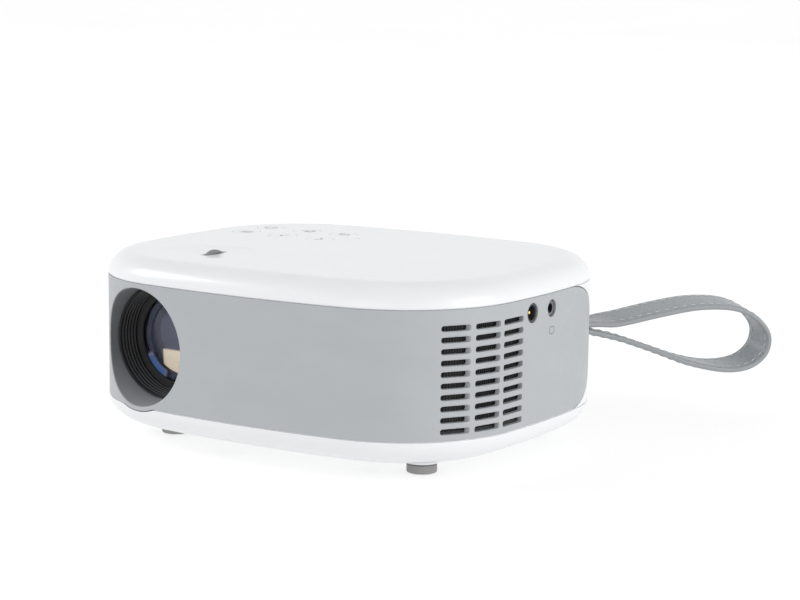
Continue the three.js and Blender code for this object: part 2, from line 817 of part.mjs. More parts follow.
function rearCover() {
  const wall = ring(0, WALL, BAND_LOW, BAND_HIGH).subtract(bandProfile(GAP));
  const ports = [
    rearHole(HDMI_X, PORT_Z, HDMI_HOLE_HALF_W, PORT_HOLE_HALF_H),
    rearHole(USB_X, PORT_Z, USB_HOLE_HALF_W, PORT_HOLE_HALF_H),
    bar("y", IR_HOLE_R, ...REAR_CUT_Y, [0, PORT_Z], KEY_ROUND),
  ];
  const grille = [];
  for (let i = 0; i < GRILLE_SLOTS; i++) {
    const z = GRILLE_LOW_Z + GRILLE_SLOT_H / 2 + i * GRILLE_PITCH;
    grille.push(rearHole(GRILLE_X, z, GRILLE_HALF_W, GRILLE_SLOT_H / 2));
  }
  const halfW = STRAP_W / 2 + STRAP_SLOT_SIDE;
  const strapSlot = atStrap(
    block(...STRAP_SLOT, -halfW, halfW, -STRAP_SLOT_HALF_H, STRAP_SLOT_HALF_H),
  );
  return without(wall, ...ports, ...grille, strapSlot);
}

add("top_shell", topShell(), WHITE);
add("bottom_shell", bottomShell(), WHITE);
add("front_band", frontBand(), GREY);
add("rear_cover", rearCover(), WHITE);

// ------------------------------------------------------- feet and the screws

const foot = joined(
  bar("z", FOOT_R - FOOT_CHAMFER, 0, FOOT_CHAMFER, [0, 0], KEY_ROUND, FOOT_R),
  bar("z", FOOT_R, FOOT_CHAMFER, FOOT_H, [0, 0], KEY_ROUND),
  bar("z", STUD_R, FOOT_H - FOOT_CHAMFER, STUD_TOP_Z, [0, 0], STUD_ROUND),
);
["left", "right"].forEach((side, i) => {
  ["front", "rear"].forEach((end, j) => {
    const mesh = add(`foot_${end}_${side}`, foot, RUBBER);
    mesh.position.set(FEET_X[i], FEET_Y[j], 0);
  });
});

const screwRecess = [
  [RECESS_HALF_L, RECESS_HALF_W],
  [RECESS_HALF_W, RECESS_HALF_L],
].map(([x, y]) => block(-x, x, -y, y, ...RECESS_Z));
const screw = without(
  joined(
    bar("z", HEAD_R, ...HEAD_Z, [0, 0], SMALL_ROUND),
    bar("z", SHANK_R, ...SHANK_Z, [0, 0], TINY_ROUND),
  ),
  ...screwRecess,
);
for (const [place, x, y] of SCREW_PLACES)
  add(`screw_${place}`, screw, STEEL).position.set(x, y, 0);

// --------------------------------------------------------------------- lens

const lens = new THREE.Group();
lens.position.set(LENS_X, 0, LENS_Z);
projector.add(lens);

// Black hood with a ribbed wall, the seat of the front glass, and the barrel behind it.
function lensBarrel() {
  const throatY = GLASS_Y - 0.4;
  const profile = [
    [HOOD_THROAT_R, HOOD_BACK_Y],
    [HOOD_THROAT_R, throatY],
    [GLASS_R + GAP, throatY],
    [GLASS_R + GAP, SEAT_Y],
    [STOP_R, SEAT_Y],
    [STOP_R, STOP_BACK_Y],
    [BORE_R, STOP_BACK_Y],
    [BORE_R, BARREL_BACK_Y],
    [BARREL_R, BARREL_BACK_Y],
    [BARREL_R, SHOULDER_Y],
    [SHOULDER_R, SHOULDER_Y],
    [SHOULDER_R, SEAT_Y + 1.6],
    [GLASS_R + 2, SEAT_Y + 0.6],
    [GLASS_R + 2.5, SEAT_Y - 2],
    [HOOD_R, HOOD_BACK_Y],
    [HOOD_R, HOOD_FRONT_Y],
  ];
  const mouthR = HOOD_R - HOOD_LIP;
  const depth = (HOOD_BACK_Y - HOOD_FRONT_Y - 1) / HOOD_RIBS;
  const drop = (mouthR - HOOD_THROAT_R) / HOOD_RIBS;
  for (let i = 0; i < HOOD_RIBS; i++) {
    const r = mouthR - i * drop;
    const y = HOOD_FRONT_Y + i * depth;
    profile.push([r, y], [r - RIB_LEAN * drop, y + depth - 0.01]);
  }
  profile.push(profile[0].slice());
  return turned(profile);
}

// A glass element with curved caps that rise by front and back.
function lensElement(r, y, { edge, front, back }) {
  const cap = (height) => {
    const steps = height ? 3 : 1;
    const shares = Array.from({ length: steps + 1 }, (_, i) => i / steps);
    return shares.map((share) => [r * share, height * (1 - share ** 2)]);
  };
  const profile = [
    ...cap(front).map(([radius, rise]) => [radius, y - rise]),
    ...cap(back)
      .reverse()
      .map(([radius, rise]) => [radius, y + edge + rise]),
  ];
  return turned(profile, LARGE_ROUND);
}

add("lens_barrel", lensBarrel(), BLACK, lens);
add("lens_front_glass", lensElement(GLASS_R, GLASS_Y, FRONT_GLASS), GLASS, lens);
add(
  "lens_middle_glass",
  lensElement(STOP_R - GAP, MIDDLE_GLASS.y, MIDDLE_GLASS),
  GLASS,
  lens,
);
add(
  "lens_rear_glass",
  lensElement(REAR_GLASS.r, REAR_GLASS.y, REAR_GLASS),
  GLASS,
  lens,
);
add(
  "lens_retainer",
  tube(
    "y",
    HOOD_THROAT_R - GAP,
    RETAINER_INNER_R,
    ...RETAINER_Y,
    [0, 0],
    FINE_ROUND,
  ),
  BLACK,
  lens,
);

// Fixed tube the barrel slides in, with two ears that carry the focus axle.
const AXLE_HEIGHT = WHEEL_Z - LENS_Z;
const EAR_LEFT_X = GEAR_X - GEAR_T / 2 - EAR_CLEAR - LENS_X;
const EAR_RIGHT_X = WHEEL_X + WHEEL_T / 2 + EAR_CLEAR - LENS_X;
const AXLE_HOLE_R = AXLE_R + AXLE_FIT;

function guideEar(x0, x1) {
  const back = WHEEL_Y + EAR_BACK;
  const stem = block(
    x0,
    x1,
    WHEEL_Y + EAR_STEM_FRONT,
    back,
    EAR_FOOT_Z,
    AXLE_HEIGHT + EAR_STEM_TOP,
  );
  const head = block(
    x0,
    x1,
    WHEEL_Y + EAR_HEAD_FRONT,
    back,
    AXLE_HEIGHT + EAR_HEAD_LOW,
    AXLE_HEIGHT + EAR_HEAD_TOP,
  );
  return joined(stem, head);
}

function lensGuide() {
  const sleeveY = [GUIDE_FRONT_Y, GUIDE_BACK_Y];
  const sleeve = bar("y", GUIDE_R, ...sleeveY, [0, 0], FINE_ROUND);
  const flange = prismY(
    roundedRectangle(
      -FLANGE_HALF_W,
      FLANGE_HALF_W,
      -FLANGE_HALF_H,
      FLANGE_HALF_H,
      FLANGE_R,
    ),
    GUIDE_BACK_Y,
    GUIDE_BACK_Y + FLANGE_T,
  );
  const ears = joined(
    guideEar(EAR_LEFT_X - EAR_T, EAR_LEFT_X),
    guideEar(EAR_RIGHT_X, EAR_RIGHT_X + EAR_T),
  );
  const boreY = [GUIDE_CUT_FRONT_Y, GUIDE_BACK_Y + 2 * FLANGE_T];
  const bore = bar("y", BARREL_R + GUIDE_FIT, ...boreY, [0, 0], FINE_ROUND);
  const rackX = GEAR_X - LENS_X;
  const rackHalf = GEAR_T / 2 + RACK_SLOT_CLEAR;
  const rackSlot = block(
    rackX - rackHalf,
    rackX + rackHalf,
    GUIDE_CUT_FRONT_Y,
    GUIDE_BACK_Y + FLANGE_T + PAST,
    ...RACK_SLOT_Z,
  );
  const axleHole = bar("x", AXLE_HOLE_R, ...AXLE_CUT_X, [WHEEL_Y, AXLE_HEIGHT]);
  return without(joined(sleeve, flange, ears), bore, rackSlot, axleHole);
}

add("lens_guide", lensGuide(), BLACK, lens);

// Involute gear outline: tooth thickness is thinned for backlash.
function gearShape() {
  const baseR = GEAR_PITCH_R * Math.cos(PRESSURE);
  const tipR = GEAR_PITCH_R + GEAR_ADDENDUM * GEAR_MODULE;
  const rootR = GEAR_PITCH_R - DEDENDUM * GEAR_MODULE;
  const involute = (r) => {
    const t = Math.sqrt(Math.max(0, (r / baseR) ** 2 - 1));
    return t - Math.atan(t);
  };
  const halfAtPitch = (TOOTH_THIN * Math.PI) / GEAR_TEETH;
  const halfAt = (r) =>
    halfAtPitch + involute(GEAR_PITCH_R) - involute(Math.max(r, baseR));
  const radii = [rootR, baseR, GEAR_PITCH_R, tipR];
  const points = [];
  for (let i = 0; i < GEAR_TEETH; i++) {
    const middle = -Math.PI / 2 + ((i + 0.5) * 2 * Math.PI) / GEAR_TEETH;
    const rising = radii.map((r) => [r, middle - halfAt(r)]);
    const falling = [...radii].reverse().map((r) => [r, middle + halfAt(r)]);
    for (const [r, angle] of [...rising, ...falling])
      points.push(
        new THREE.Vector2(r * Math.cos(angle), r * Math.sin(angle)),
      );
  }
  return new THREE.Shape(points);
}

// Rack with straight flanks; a tooth of the rack fills the gap under the gear.
function rackShape() {
  const pitch = Math.PI * GEAR_MODULE;
  const tip = RACK_ADDENDUM * GEAR_MODULE;
  const root = DEDENDUM * GEAR_MODULE;
  const half = (TOOTH_THIN * pitch) / 2;
  const lean = Math.tan(PRESSURE);
  const end = (RACK_TEETH * pitch) / 2;
  const points = [[-end, -root]];
  for (let i = 0; i < RACK_TEETH; i++) {
    const y = (i - (RACK_TEETH - 1) / 2) * pitch;
    points.push(
      [y - half - root * lean, -root],
      [y - half + tip * lean, tip],
      [y + half - tip * lean, tip],
      [y + half + root * lean, -root],
    );
  }
  points.push([end, -root], [end, -RACK_T], [-end, -RACK_T]);
  return new THREE.Shape(points.map(([y, z]) => new THREE.Vector2(y, z)));
}

const RACK_PITCH_Z = AXLE_HEIGHT - GEAR_PITCH_R;
const gearSlice = (x) => [x - GEAR_T / 2, x + GEAR_T / 2];

function focusRack() {
  const x = gearSlice(GEAR_X - LENS_X);
  const teeth = prismX(rackShape(), ...x).translate([0, WHEEL_Y, RACK_PITCH_Z]);
  const stem = block(
    ...x,
    SHOULDER_Y + GAP,
    WHEEL_Y + STEM_BACK,
    STEM_LOW_Z,
    RACK_PITCH_Z - RACK_T + STEM_SINK,
  );
  const room = bar("y", BARREL_R + GAP, GUIDE_CUT_FRONT_Y, 0, [0, 0], FINE_ROUND);
  return joined(teeth, stem.subtract(room));
}

add("focus_rack", focusRack(), BLACK, lens);

// ------------------------------------------------------- focus wheel on axle

const focus = new THREE.Group();
focus.position.set(0, WHEEL_Y, WHEEL_Z);
projector.add(focus);

const axleHole = bar("x", AXLE_HOLE_R, ...AXLE_CUT_X);

function focusWheel() {
  const points = [];
  for (let i = 0; i < 2 * WHEEL_NOTCHES; i++) {
    const angle = (i * Math.PI) / WHEEL_NOTCHES;
    const r = i % 2 ? WHEEL_R - NOTCH_DEPTH : WHEEL_R;
    points.push(new THREE.Vector2(r * Math.cos(angle), r * Math.sin(angle)));
  }
  const half = WHEEL_T / 2;
  const disc = prismX(new THREE.Shape(points), WHEEL_X - half, WHEEL_X + half);
  return disc.subtract(axleHole);
}

add("focus_wheel", focusWheel(), WHITE, focus);
add(
  "focus_pinion",
  prismX(gearShape(), ...gearSlice(GEAR_X)).subtract(axleHole),
  BLACK,
  focus,
);
add(
  "focus_axle",
  bar(
    "x",
    AXLE_R,
    EAR_LEFT_X + LENS_X - AXLE_END,
    EAR_RIGHT_X + LENS_X + AXLE_END,
  ),
  STEEL,
  focus,
);

// ------------------------------------------------------------ keys and light

const keyCap = joined(
  bar("z", KEY_R, -KEY_CAP_T, -KEY_CHAMFER, [0, 0], KEY_ROUND),
  bar("z", KEY_R, -KEY_CHAMFER, 0, [0, 0], KEY_ROUND, KEY_R - KEY_CHAMFER),
  bar(
    "z",
    KEY_STEM_R,
    -KEY_CAP_T - KEY_STEM_L,
    -KEY_CAP_T + KEY_STEM_SINK,
    [0, 0],
    TINY_ROUND,
  ),
);
KEY_ROWS.forEach((y, row) => {
  KEY_COLUMNS.forEach((x, column) => {
    const mesh = add(KEY_NAMES[row][column], keyCap, WHITE);
    mesh.position.set(x, y, TOP_Z);
  });
});

// Rubber mat with one dome under each key, lying on the key board.
function keyMat() {
  const sheet = prismZ(roundedRectangle(...MAT_PLAN), MAT_Z, MAT_Z + MAT_T);
  const domeZ = DOME_Z.map((z) => MAT_Z + z);
  const domes = KEY_ROWS.flatMap((y) =>
    KEY_COLUMNS.map((x) =>
      bar("z", DOME_R, ...domeZ, [x, y], TINY_ROUND, DOME_TOP_R),
    ),
  );
  const lightRoom = bar("z", MAT_LIGHT_R, ...MAT_CUT_Z, [LIGHT_X, LIGHT_Y]);
  return joined(sheet, ...domes).subtract(lightRoom);
}

add("key_mat", keyMat(), SILICONE);
add("key_board", prismZ(roundedRectangle(...MAT_PLAN), ...KEY_BOARD_Z), BOARD);
add(
  "status_light_pipe",
  bar("z", LIGHT_R, LIGHT_LOW_Z, TOP_Z, [LIGHT_X, LIGHT_Y], SMALL_ROUND),
  SILICONE,
);

// ------------------------------------------------- vent filters, fan, sockets

// A thin screen that follows the inside of the band behind the vent slots.
function ventFilter(side, columns) {
  const inset = WALL + SCREEN_GAP;
  const screen = ring(inset, inset + SCREEN_T, ...SCREEN_Z);
  const x = side > 0 ? [VENT_SCREEN_X, HALF_W] : [-HALF_W, -VENT_SCREEN_X];
  const front = columns[0][0] - SCREEN_MARGIN;
  const rear = columns.at(-1)[1] + SCREEN_MARGIN;
  return screen.intersect(block(...x, front, rear, ...BAND_CUT_Z));
}

add("vent_filter_right", ventFilter(1, VENT_COLUMNS_RIGHT), PAPER);
add("vent_filter_left", ventFilter(-1, VENT_COLUMNS_LEFT), PAPER);

function fanFrame() {
  const axis = [FAN_Y, MID_Z];
  const [x0, x1] = FAN_X;
  const plate = block(
    x0,
    x1,
    FAN_Y - FAN_HALF,
    FAN_Y + FAN_HALF,
    MID_Z - FAN_HALF,
    MID_Z + FAN_HALF,
  );
  const tunnel = bar("x", FAN_TUNNEL_R, x0 - PAST, x1 + PAST, axis, FINE_ROUND);
  const motor = tube("x", MOTOR_R, MOTOR_BORE_R, x0, x0 + MOTOR_L, axis);
  const [near, far] = ARM_SPAN;
  const x = [x0, x0 + ARM_T];
  const arms = joined(
    block(...x, FAN_Y - far, FAN_Y - near, MID_Z - ARM_HALF_W, MID_Z + ARM_HALF_W),
    block(...x, FAN_Y + near, FAN_Y + far, MID_Z - ARM_HALF_W, MID_Z + ARM_HALF_W),
    block(...x, FAN_Y - ARM_HALF_W, FAN_Y + ARM_HALF_W, MID_Z + near, MID_Z + far),
  );
  return joined(plate.subtract(tunnel), motor, arms);
}

function fanRotor() {
  const [x0, x1] = FAN_X;
  let rotor = joined(
    bar("x", HUB_R, x0 + HUB_FRONT, x1 - HUB_BACK, [0, 0], LARGE_ROUND),
    bar("x", STUB_R, x0 + STUB_X[0], x0 + STUB_X[1], [0, 0], SMALL_ROUND),
  );
  const blade = block(
    -BLADE_HALF_L,
    BLADE_HALF_L,
    -BLADE_HALF_T,
    BLADE_HALF_T,
    ...BLADE_REACH,
  )
    .rotate([0, 0, BLADE_TWIST])
    .translate([(x0 + x1) / 2 + BLADE_SHIFT, 0, 0]);
  for (let i = 0; i < BLADES; i++)
    rotor = rotor.add(blade.rotate([(i * 360) / BLADES, 0, 0]));
  return rotor;
}

add("fan_frame", fanFrame(), BLACK);
const fan = new THREE.Group();
fan.position.set(0, FAN_Y, MID_Z);
projector.add(fan);
add("fan_rotor", fanRotor(), BLACK, fan);

// Distances from the face of the side sockets as places on X.
const fromFace = (...distances) => distances.map((d) => DC_FACE_X + d);

// Power socket: a round well with a centre pin, in a square body.
function dcJack() {
  const axis = [DC_Y, SOCKET_Z];
  const y = [DC_Y - DC_BODY_HALF_W, DC_Y + DC_BODY_HALF_W];
  const body = joined(
    block(...fromFace(...DC_BODY_X), ...y, ...DC_BODY_Z),
    bar("x", DC_NOSE_R, ...fromFace(...DC_NOSE_X), axis, KEY_ROUND),
  );
  const cut = (r, back, sides) =>
    bar("x", r, ...fromFace(back), SIDE_CUT_FAR_X, axis, sides);
  return without(
    body,
    cut(DC_WELL_R, DC_WELL_BACK, ROUND),
    cut(DC_PIN_HOLE_R, DC_PIN_HOLE_BACK, STUD_ROUND),
  );
}

function dcPin() {
  const axis = [DC_Y, SOCKET_Z];
  const [back, shoulder, tip] = fromFace(...DC_PIN_X);
  return joined(
    bar("x", DC_PIN_R, back, shoulder, axis, STUD_ROUND),
    bar("x", DC_PIN_R, shoulder, tip, axis, STUD_ROUND, DC_PIN_TIP_R),
  );
}

// Audio socket: a plastic body with a metal collar round its bore.
function audioJack() {
  const y = [AUDIO_Y - AUDIO_BODY_HALF_W, AUDIO_Y + AUDIO_BODY_HALF_W];
  const body = block(...fromFace(...AUDIO_BODY_X), ...y, ...AUDIO_BODY_Z);
  const [back] = fromFace(AUDIO_BODY_BORE_BACK);
  const axis = [AUDIO_Y, SOCKET_Z];
  return body.subtract(
    bar("x", AUDIO_BODY_BORE_R, back, SIDE_CUT_FAR_X, axis, KEY_ROUND),
  );
}

function audioCollar() {
  const axis = [AUDIO_Y, SOCKET_Z];
  return joined(
    tube("x", COLLAR_R, COLLAR_BORE_R, ...fromFace(...COLLAR_X), axis),
    tube("x", COLLAR_FLANGE_R, COLLAR_BORE_R, ...fromFace(...COLLAR_FLANGE_X), axis),
  );
}

add("dc_jack", dcJack(), BLACK);
add("dc_jack_pin", dcPin(), BRASS);
add("audio_jack", audioJack(), BLACK);
add("audio_jack_collar", audioCollar(), STEEL);

// Rear ports: metal shells with a contact tongue each.
function port(halfW, halfH, tongueH) {
  const y1 = HALF_D - PORT_SINK;
  const y0 = y1 - PORT_L;
  const shell = block(-halfW, halfW, y0, y1, -halfH, halfH);
  const mouth = block(
    PORT_WALL - halfW,
    halfW - PORT_WALL,
    y0 + PORT_BACK_WALL,
    y1 + PAST,
    PORT_WALL - halfH,
    halfH - PORT_WALL,
  );
  const tongue = block(
    TONGUE_SIDE - halfW,
    halfW - TONGUE_SIDE,
    y0 + PORT_BACK_WALL / 2,
    y1 - TONGUE_SINK,
    -tongueH / 2,
    tongueH / 2,
  );
  return joined(shell.subtract(mouth), tongue);
}

add("hdmi_port", port(7.6, 2.9, 1), STEEL).position.set(HDMI_X, 0, PORT_Z);
add("usb_port", port(6.8, 3.1, 2), STEEL).position.set(USB_X, 0, PORT_Z);

const fromRear = (distances) => distances.map((d) => HALF_D + d);
add(
  "ir_window",
  joined(
    bar("y", IR_R, ...fromRear(IR_Y), [0, PORT_Z]),
    bar("y", IR_FLANGE_R, ...fromRear(IR_FLANGE_Y), [0, PORT_Z]),
  ),
  BLACK,
);

// ------------------------------------------------------------- light engine

function engineBox() {
  const [x0, x1] = BOX_X;
  const [z0, z1] = BOX_Z;
  const shell = block(x0, x1, ENGINE_FRONT_Y, ENGINE_BACK_Y, z0, z1);
  const inside = block(
    x0 + BOX_WALL,
    x1 - BOX_WALL,
    ENGINE_FRONT_Y + BOX_WALL,
    ENGINE_BACK_Y - BOX_WALL,
    z0 + BOX_WALL,
    z1 + PAST,
  );
  const axis = [LENS_X, LENS_Z];
  const light = bar("y", LIGHT_PATH_R, ...LIGHT_PATH_Y, axis, FINE_ROUND);
  return without(shell, inside, light);
}

const lidZ = BOX_Z[1] + GAP;
add("engine_box", engineBox(), BLACK);
add(
  "engine_lid",
  block(...BOX_X, ENGINE_FRONT_Y, ENGINE_BACK_Y, lidZ, lidZ + LID_T),
  BLACK,
);

// Flat optical sheets that stand across the light path, front to back.
const SHEETS = [
  ["fresnel_front", -8, 1.6, GLASS],
  ["lcd_panel", -2, 2.4, BLACK],
  ["fresnel_rear", 5, 1.6, GLASS],
  ["heat_glass", 14, 1.4, GLASS],
];
for (const [name, y, thickness, material] of SHEETS) {
  const sheet = block(-SHEET_HALF_W, SHEET_HALF_W, y, y + thickness, ...SHEET_Z);
  add(name, sheet, material).position.set(SHEET_X, 0, LENS_Z);
}
add(
  "condenser_lens",
  lensElement(CONDENSER.r, CONDENSER.y, CONDENSER).translate([LENS_X, 0, LENS_Z]),
  GLASS,
);

const ledModule = joined(
  block(...LED_PLATE),
  bar("y", EMITTER_R, ...EMITTER_Y, [0, 0], LARGE_ROUND),
);
add("led_module", ledModule, ALUMINIUM).position.set(LENS_X, 0, LENS_Z);

function heatSink() {
  const fins = [];
  for (let i = 0; i < FINS; i++) {
    const x = FIN_X.map((place) => place + i * FIN_PITCH);
    fins.push(block(...x, ...FIN_Y, ...FIN_Z));
  }
  return joined(block(...SINK_BASE), ...fins);
}
add("led_heatsink", heatSink(), ALUMINIUM).position.set(LENS_X, 0, LENS_Z);

// -------------------------------------------------- main board and speaker

function mainBoard() {
  const sheet = prismZ(roundedRectangle(...BOARD_PLAN), ...BOARD_Z).intersect(
    plug(BOARD_INSET, ...BAND_CUT_Z),
  );
  const chips = CHIPS.map((sides) => block(...sides));
  const cans = CAPACITORS.map((at) => bar("z", CAPACITOR_R, ...CAPACITOR_Z, at));
  const [, screwX, screwY] = SCREW_PLACES.at(-1);
  const screwRoom = bar("z", BOARD_SCREW_ROOM_R, ...BOARD_SCREW_ROOM_Z, [
    screwX,
    screwY,
  ]);
  return joined(sheet, ...chips, ...cans).subtract(screwRoom);
}
add("main_board", mainBoard(), BOARD);

const speakerBody = SPEAKER_STEPS.map(([r, from, to, sides]) =>
  bar("y", r, from, to, [0, 0], sides),
);
const speakerBore = bar("y", SPEAKER_BORE_R, ...SPEAKER_BORE_Y, [0, 0], LARGE_ROUND);
const speaker = new THREE.Group();
speaker.position.set(...SPEAKER_AT);
projector.add(speaker);
add("speaker_frame", joined(...speakerBody).subtract(speakerBore), STEEL, speaker);
add("speaker_cone", turned(CONE_SECTION, KEY_ROUND), PAPER, speaker);

// --------------------------------------------------------------- hand strap

// Middle line of the loop, as (out, up) from the strap's exit.
const LOOP = [
  [22, 2.2],
  [44, 4.9],
  [64, 6.6],
  [82, 5.3],
  [94, 0.9],
  [101.5, -5.8],
  [103.5, -12],
  [100.6, -18.6],
  [92, -23.2],
  [78, -23.6],
  [60, -19.6],
  [42, -13],
  [24, -6.6],
];

function strapLoop() {
  const path = new THREE.SplineCurve([
    new THREE.Vector2(STRAP_HINGE_U, STRAP_FOLD),
    ...LOOP.map(([u, v]) => new THREE.Vector2(u, v)),
    new THREE.Vector2(STRAP_HINGE_U, -STRAP_FOLD),
  ]);
  const outer = [];
  const inner = [];
  for (let i = 0; i <= STRAP_STEPS; i++) {
    const p = path.getPoint(i / STRAP_STEPS);
    const t = path.getTangent(i / STRAP_STEPS);
    const normal = new THREE.Vector2(-t.y, t.x).multiplyScalar(STRAP_T / 2);
    outer.push(p.clone().add(normal));
    inner.push(p.clone().sub(normal));
  }
  const half = STRAP_W / 2;
  const band = prismY(new THREE.Shape([...outer, ...inner.reverse()]), -half, half);
  const fold = bar("y", 2 * STRAP_FOLD, -half, half, [STRAP_HINGE_U, 0], KEY_ROUND);
  return atStrap(joined(band, fold));
}

const clampBar = (r, [from, to]) => bar("z", r, from, to, [CLAMP_SCREW_U, 0]);

function strapRoot() {
  const stub = block(
    STRAP_ROOT_U,
    STRAP_HINGE_U - 2 * STRAP_FOLD - GAP,
    -STRAP_W / 2,
    STRAP_W / 2,
    -STRAP_FOLD - STRAP_T / 2,
    STRAP_FOLD + STRAP_T / 2,
  );
  return atStrap(stub.subtract(clampBar(CLAMP_HOLE_R, CLAMP_HOLE_V)));
}

function strapClamp() {
  const [low, high] = CLAMP_V;
  const w = [-CLAMP_HALF_W, CLAMP_HALF_W];
  const plates = joined(
    block(...CLAMP_U, ...w, low, high),
    block(...CLAMP_U, ...w, -high, -low),
    block(...CLAMP_TAIL_U, ...w, -high, high),
  );
  return atStrap(plates.subtract(clampBar(CLAMP_HOLE_R, CLAMP_HOLE_V)));
}

const strapScrew = atStrap(
  joined(
    clampBar(CLAMP_HEAD_R, CLAMP_HEAD_V),
    clampBar(CLAMP_SHANK_R, CLAMP_SHANK_V),
  ),
);

add("hand_strap", strapLoop(), LEATHER);
add("strap_root", strapRoot(), LEATHER);
add("strap_clamp", strapClamp(), STEEL);
add("strap_screw", strapScrew, STEEL);

// The origin is the middle of the overall footprint, on the plane of the feet.
const reach = new THREE.Box3().setFromObject(projector, true);
const middle = reach.getCenter(new THREE.Vector3());
projector.position.set(-middle.x, -middle.y, -reach.min.z);

export default projector;
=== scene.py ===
"""Looks of a home projector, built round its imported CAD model.

Shapes are worked out in millimetres about the middle of the body, and become metres in piece().
"""

import json
import math

import bmesh
import bpy
from mathutils import Matrix, Vector


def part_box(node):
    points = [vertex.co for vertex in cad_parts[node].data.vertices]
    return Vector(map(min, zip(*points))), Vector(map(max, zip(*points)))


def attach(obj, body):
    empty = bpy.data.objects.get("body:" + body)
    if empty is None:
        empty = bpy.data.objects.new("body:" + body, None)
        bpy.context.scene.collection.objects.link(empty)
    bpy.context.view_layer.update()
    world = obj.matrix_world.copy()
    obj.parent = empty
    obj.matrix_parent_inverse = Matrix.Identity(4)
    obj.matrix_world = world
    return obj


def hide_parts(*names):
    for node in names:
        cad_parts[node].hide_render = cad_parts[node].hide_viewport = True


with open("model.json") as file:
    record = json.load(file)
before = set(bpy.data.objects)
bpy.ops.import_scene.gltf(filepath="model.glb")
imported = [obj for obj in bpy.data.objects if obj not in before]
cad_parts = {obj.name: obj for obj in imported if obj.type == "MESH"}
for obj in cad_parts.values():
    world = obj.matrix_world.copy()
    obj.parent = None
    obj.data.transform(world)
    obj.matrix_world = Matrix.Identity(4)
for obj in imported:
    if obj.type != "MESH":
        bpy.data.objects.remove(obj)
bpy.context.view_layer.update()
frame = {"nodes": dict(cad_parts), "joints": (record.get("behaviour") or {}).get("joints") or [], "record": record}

# ------------------------------------------------------------------ dimensions

MM = 0.001
BAND_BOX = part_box("front_band")
SHELL_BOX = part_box("top_shell")
MIDDLE = Vector(((BAND_BOX[0].x + BAND_BOX[1].x) / 2, (SHELL_BOX[0].y + SHELL_BOX[1].y) / 2, 0))


def span(node):
    """Lowest and highest corner of a CAD node, in millimetres about the body's middle."""
    low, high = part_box(node)
    return (low - MIDDLE) / MM, (high - MIDDLE) / MM


def centre(node):
    low, high = span(node)
    return (low + high) / 2


# Plan of the body: four bowed sides joined by corner arcs.
HALF_W = span("top_shell")[1].x
HALF_D = span("top_shell")[1].y
CORNER_R = 54.0
FRONT_BOW = 11.0
SIDE_BOW = 9.0

BAND_LOW = span("rear_cover")[0].z
BAND_HIGH = span("rear_cover")[1].z
MID_Z = (BAND_LOW + BAND_HIGH) / 2
TOP_Z = span("top_shell")[1].z
BASE_Z = 5.5
TOP_INSET = 11.7
BASE_INSET = 21.7
WALL = 2.2
GAP = 0.3
LIP_IN = 2.5
LIP_OUT = 4.0
LIP_DEPTH = 1.8
SEAM_R = 0.35
GROOVE_D = 0.55

BAND_STRAIGHT_Y = 22.0
BAND_END_Y = 54.0

LENS_X = centre("lens_barrel").x
LENS_Z = centre("lens_barrel").z
OPENING_R = 25.2
BOSS_R = 27.2
SHROUD_BACK_Y = -50.0
HOOD_FRONT_Y, HOOD_BACK_Y = span("lens_barrel")[0].y, -50.6
HOOD_R, HOOD_THROAT_R = 24.7, 22.5
GLASS_R = 20.4
GLASS_Y = -49.4
SEAT_Y = -46.6
STOP_R, BORE_R, BARREL_R = 16.0, 13.1, 16.2
STOP_BACK_Y = -43.6
SHOULDER_R, SHOULDER_Y = 17.8, -42.7
MIDDLE_GLASS_Y = span("lens_middle_glass")[1].y - 1.4
BARREL_BACK_Y = span("lens_barrel")[1].y

WHEEL = centre("focus_wheel")
WHEEL_R = (span("focus_wheel")[1].z - span("focus_wheel")[0].z) / 2
WHEEL_T = span("focus_wheel")[1].x - span("focus_wheel")[0].x
RIM_R = WHEEL_R - 0.8
SLOT_HALF_L = 8.0
DISH_HALF_W, DISH_HALF_L, DISH_DEPTH = 24.0, 19.0, 0.9

RIGHT_COLUMNS = ((-60.0, -49.5), (-46.9, -34.4), (-31.8, -18.5))
LEFT_COLUMNS = ((-46.9, -34.4), (-31.8, -18.5), (-15.9, -3.4))
VENT_ROWS = 10
VENT_PITCH = 4.63
VENT_SLOT_H = 2.7
VENT_LOW_Z = 21.7

SOCKET_Z = centre("dc_jack").z
DC_Y, DC_HOLE_R = centre("dc_jack").y, 4.1
AUDIO_Y, AUDIO_HOLE_R = centre("audio_jack").y, 3.65
SOCKET_FACE_X = span("dc_jack")[1].x

KEY_R = 6.4
SYMBOL_SCALE = 1.6
KEY_NODES = ("key_menu", "key_left", "key_right", "key_power", "key_source", "key_back")
FOOT_NODES = ("foot_front_left", "foot_front_right", "foot_rear_left", "foot_rear_right")
FOOT_R = 6.3
FOOT_BOSS_R = 7.4
SCREW_NODES = ("screw_front_left", "screw_front_right", "screw_rear_left", "screw_rear_right")
FOOT_AT = [tuple(centre(n)[:2]) for n in FOOT_NODES]
SCREW_AT = [tuple(centre(n)[:2]) for n in SCREW_NODES]
CROSS_HALF_L, CROSS_HALF_W, CROSS_DEPTH = 1.9, 0.38, 1.1

PORT_Z = centre("hdmi_port").z
GRILLE_X = centre("speaker_frame").x

STRAP_W = 16.0
STRAP_T = 2.4
STITCH_IN = 2.4
STITCH_L, STITCH_HALF_W, STITCH_PITCH = 2.9, 0.36, 4.7

# ------------------------------------------------------- closed surfaces, in mm


class Solid:
    """Vertices and faces of one or more closed surfaces."""

    def __init__(self, verts=(), faces=()):
        self.verts = [tuple(v) for v in verts]
        self.faces = [tuple(f) for f in faces]

    def __add__(self, other):
        start = len(self.verts)
        moved = [tuple(i + start for i in f) for f in other.faces]
        return Solid(self.verts + other.verts, self.faces + moved)

    def mapped(self, place):
        return Solid([place(*v) for v in self.verts], self.faces)


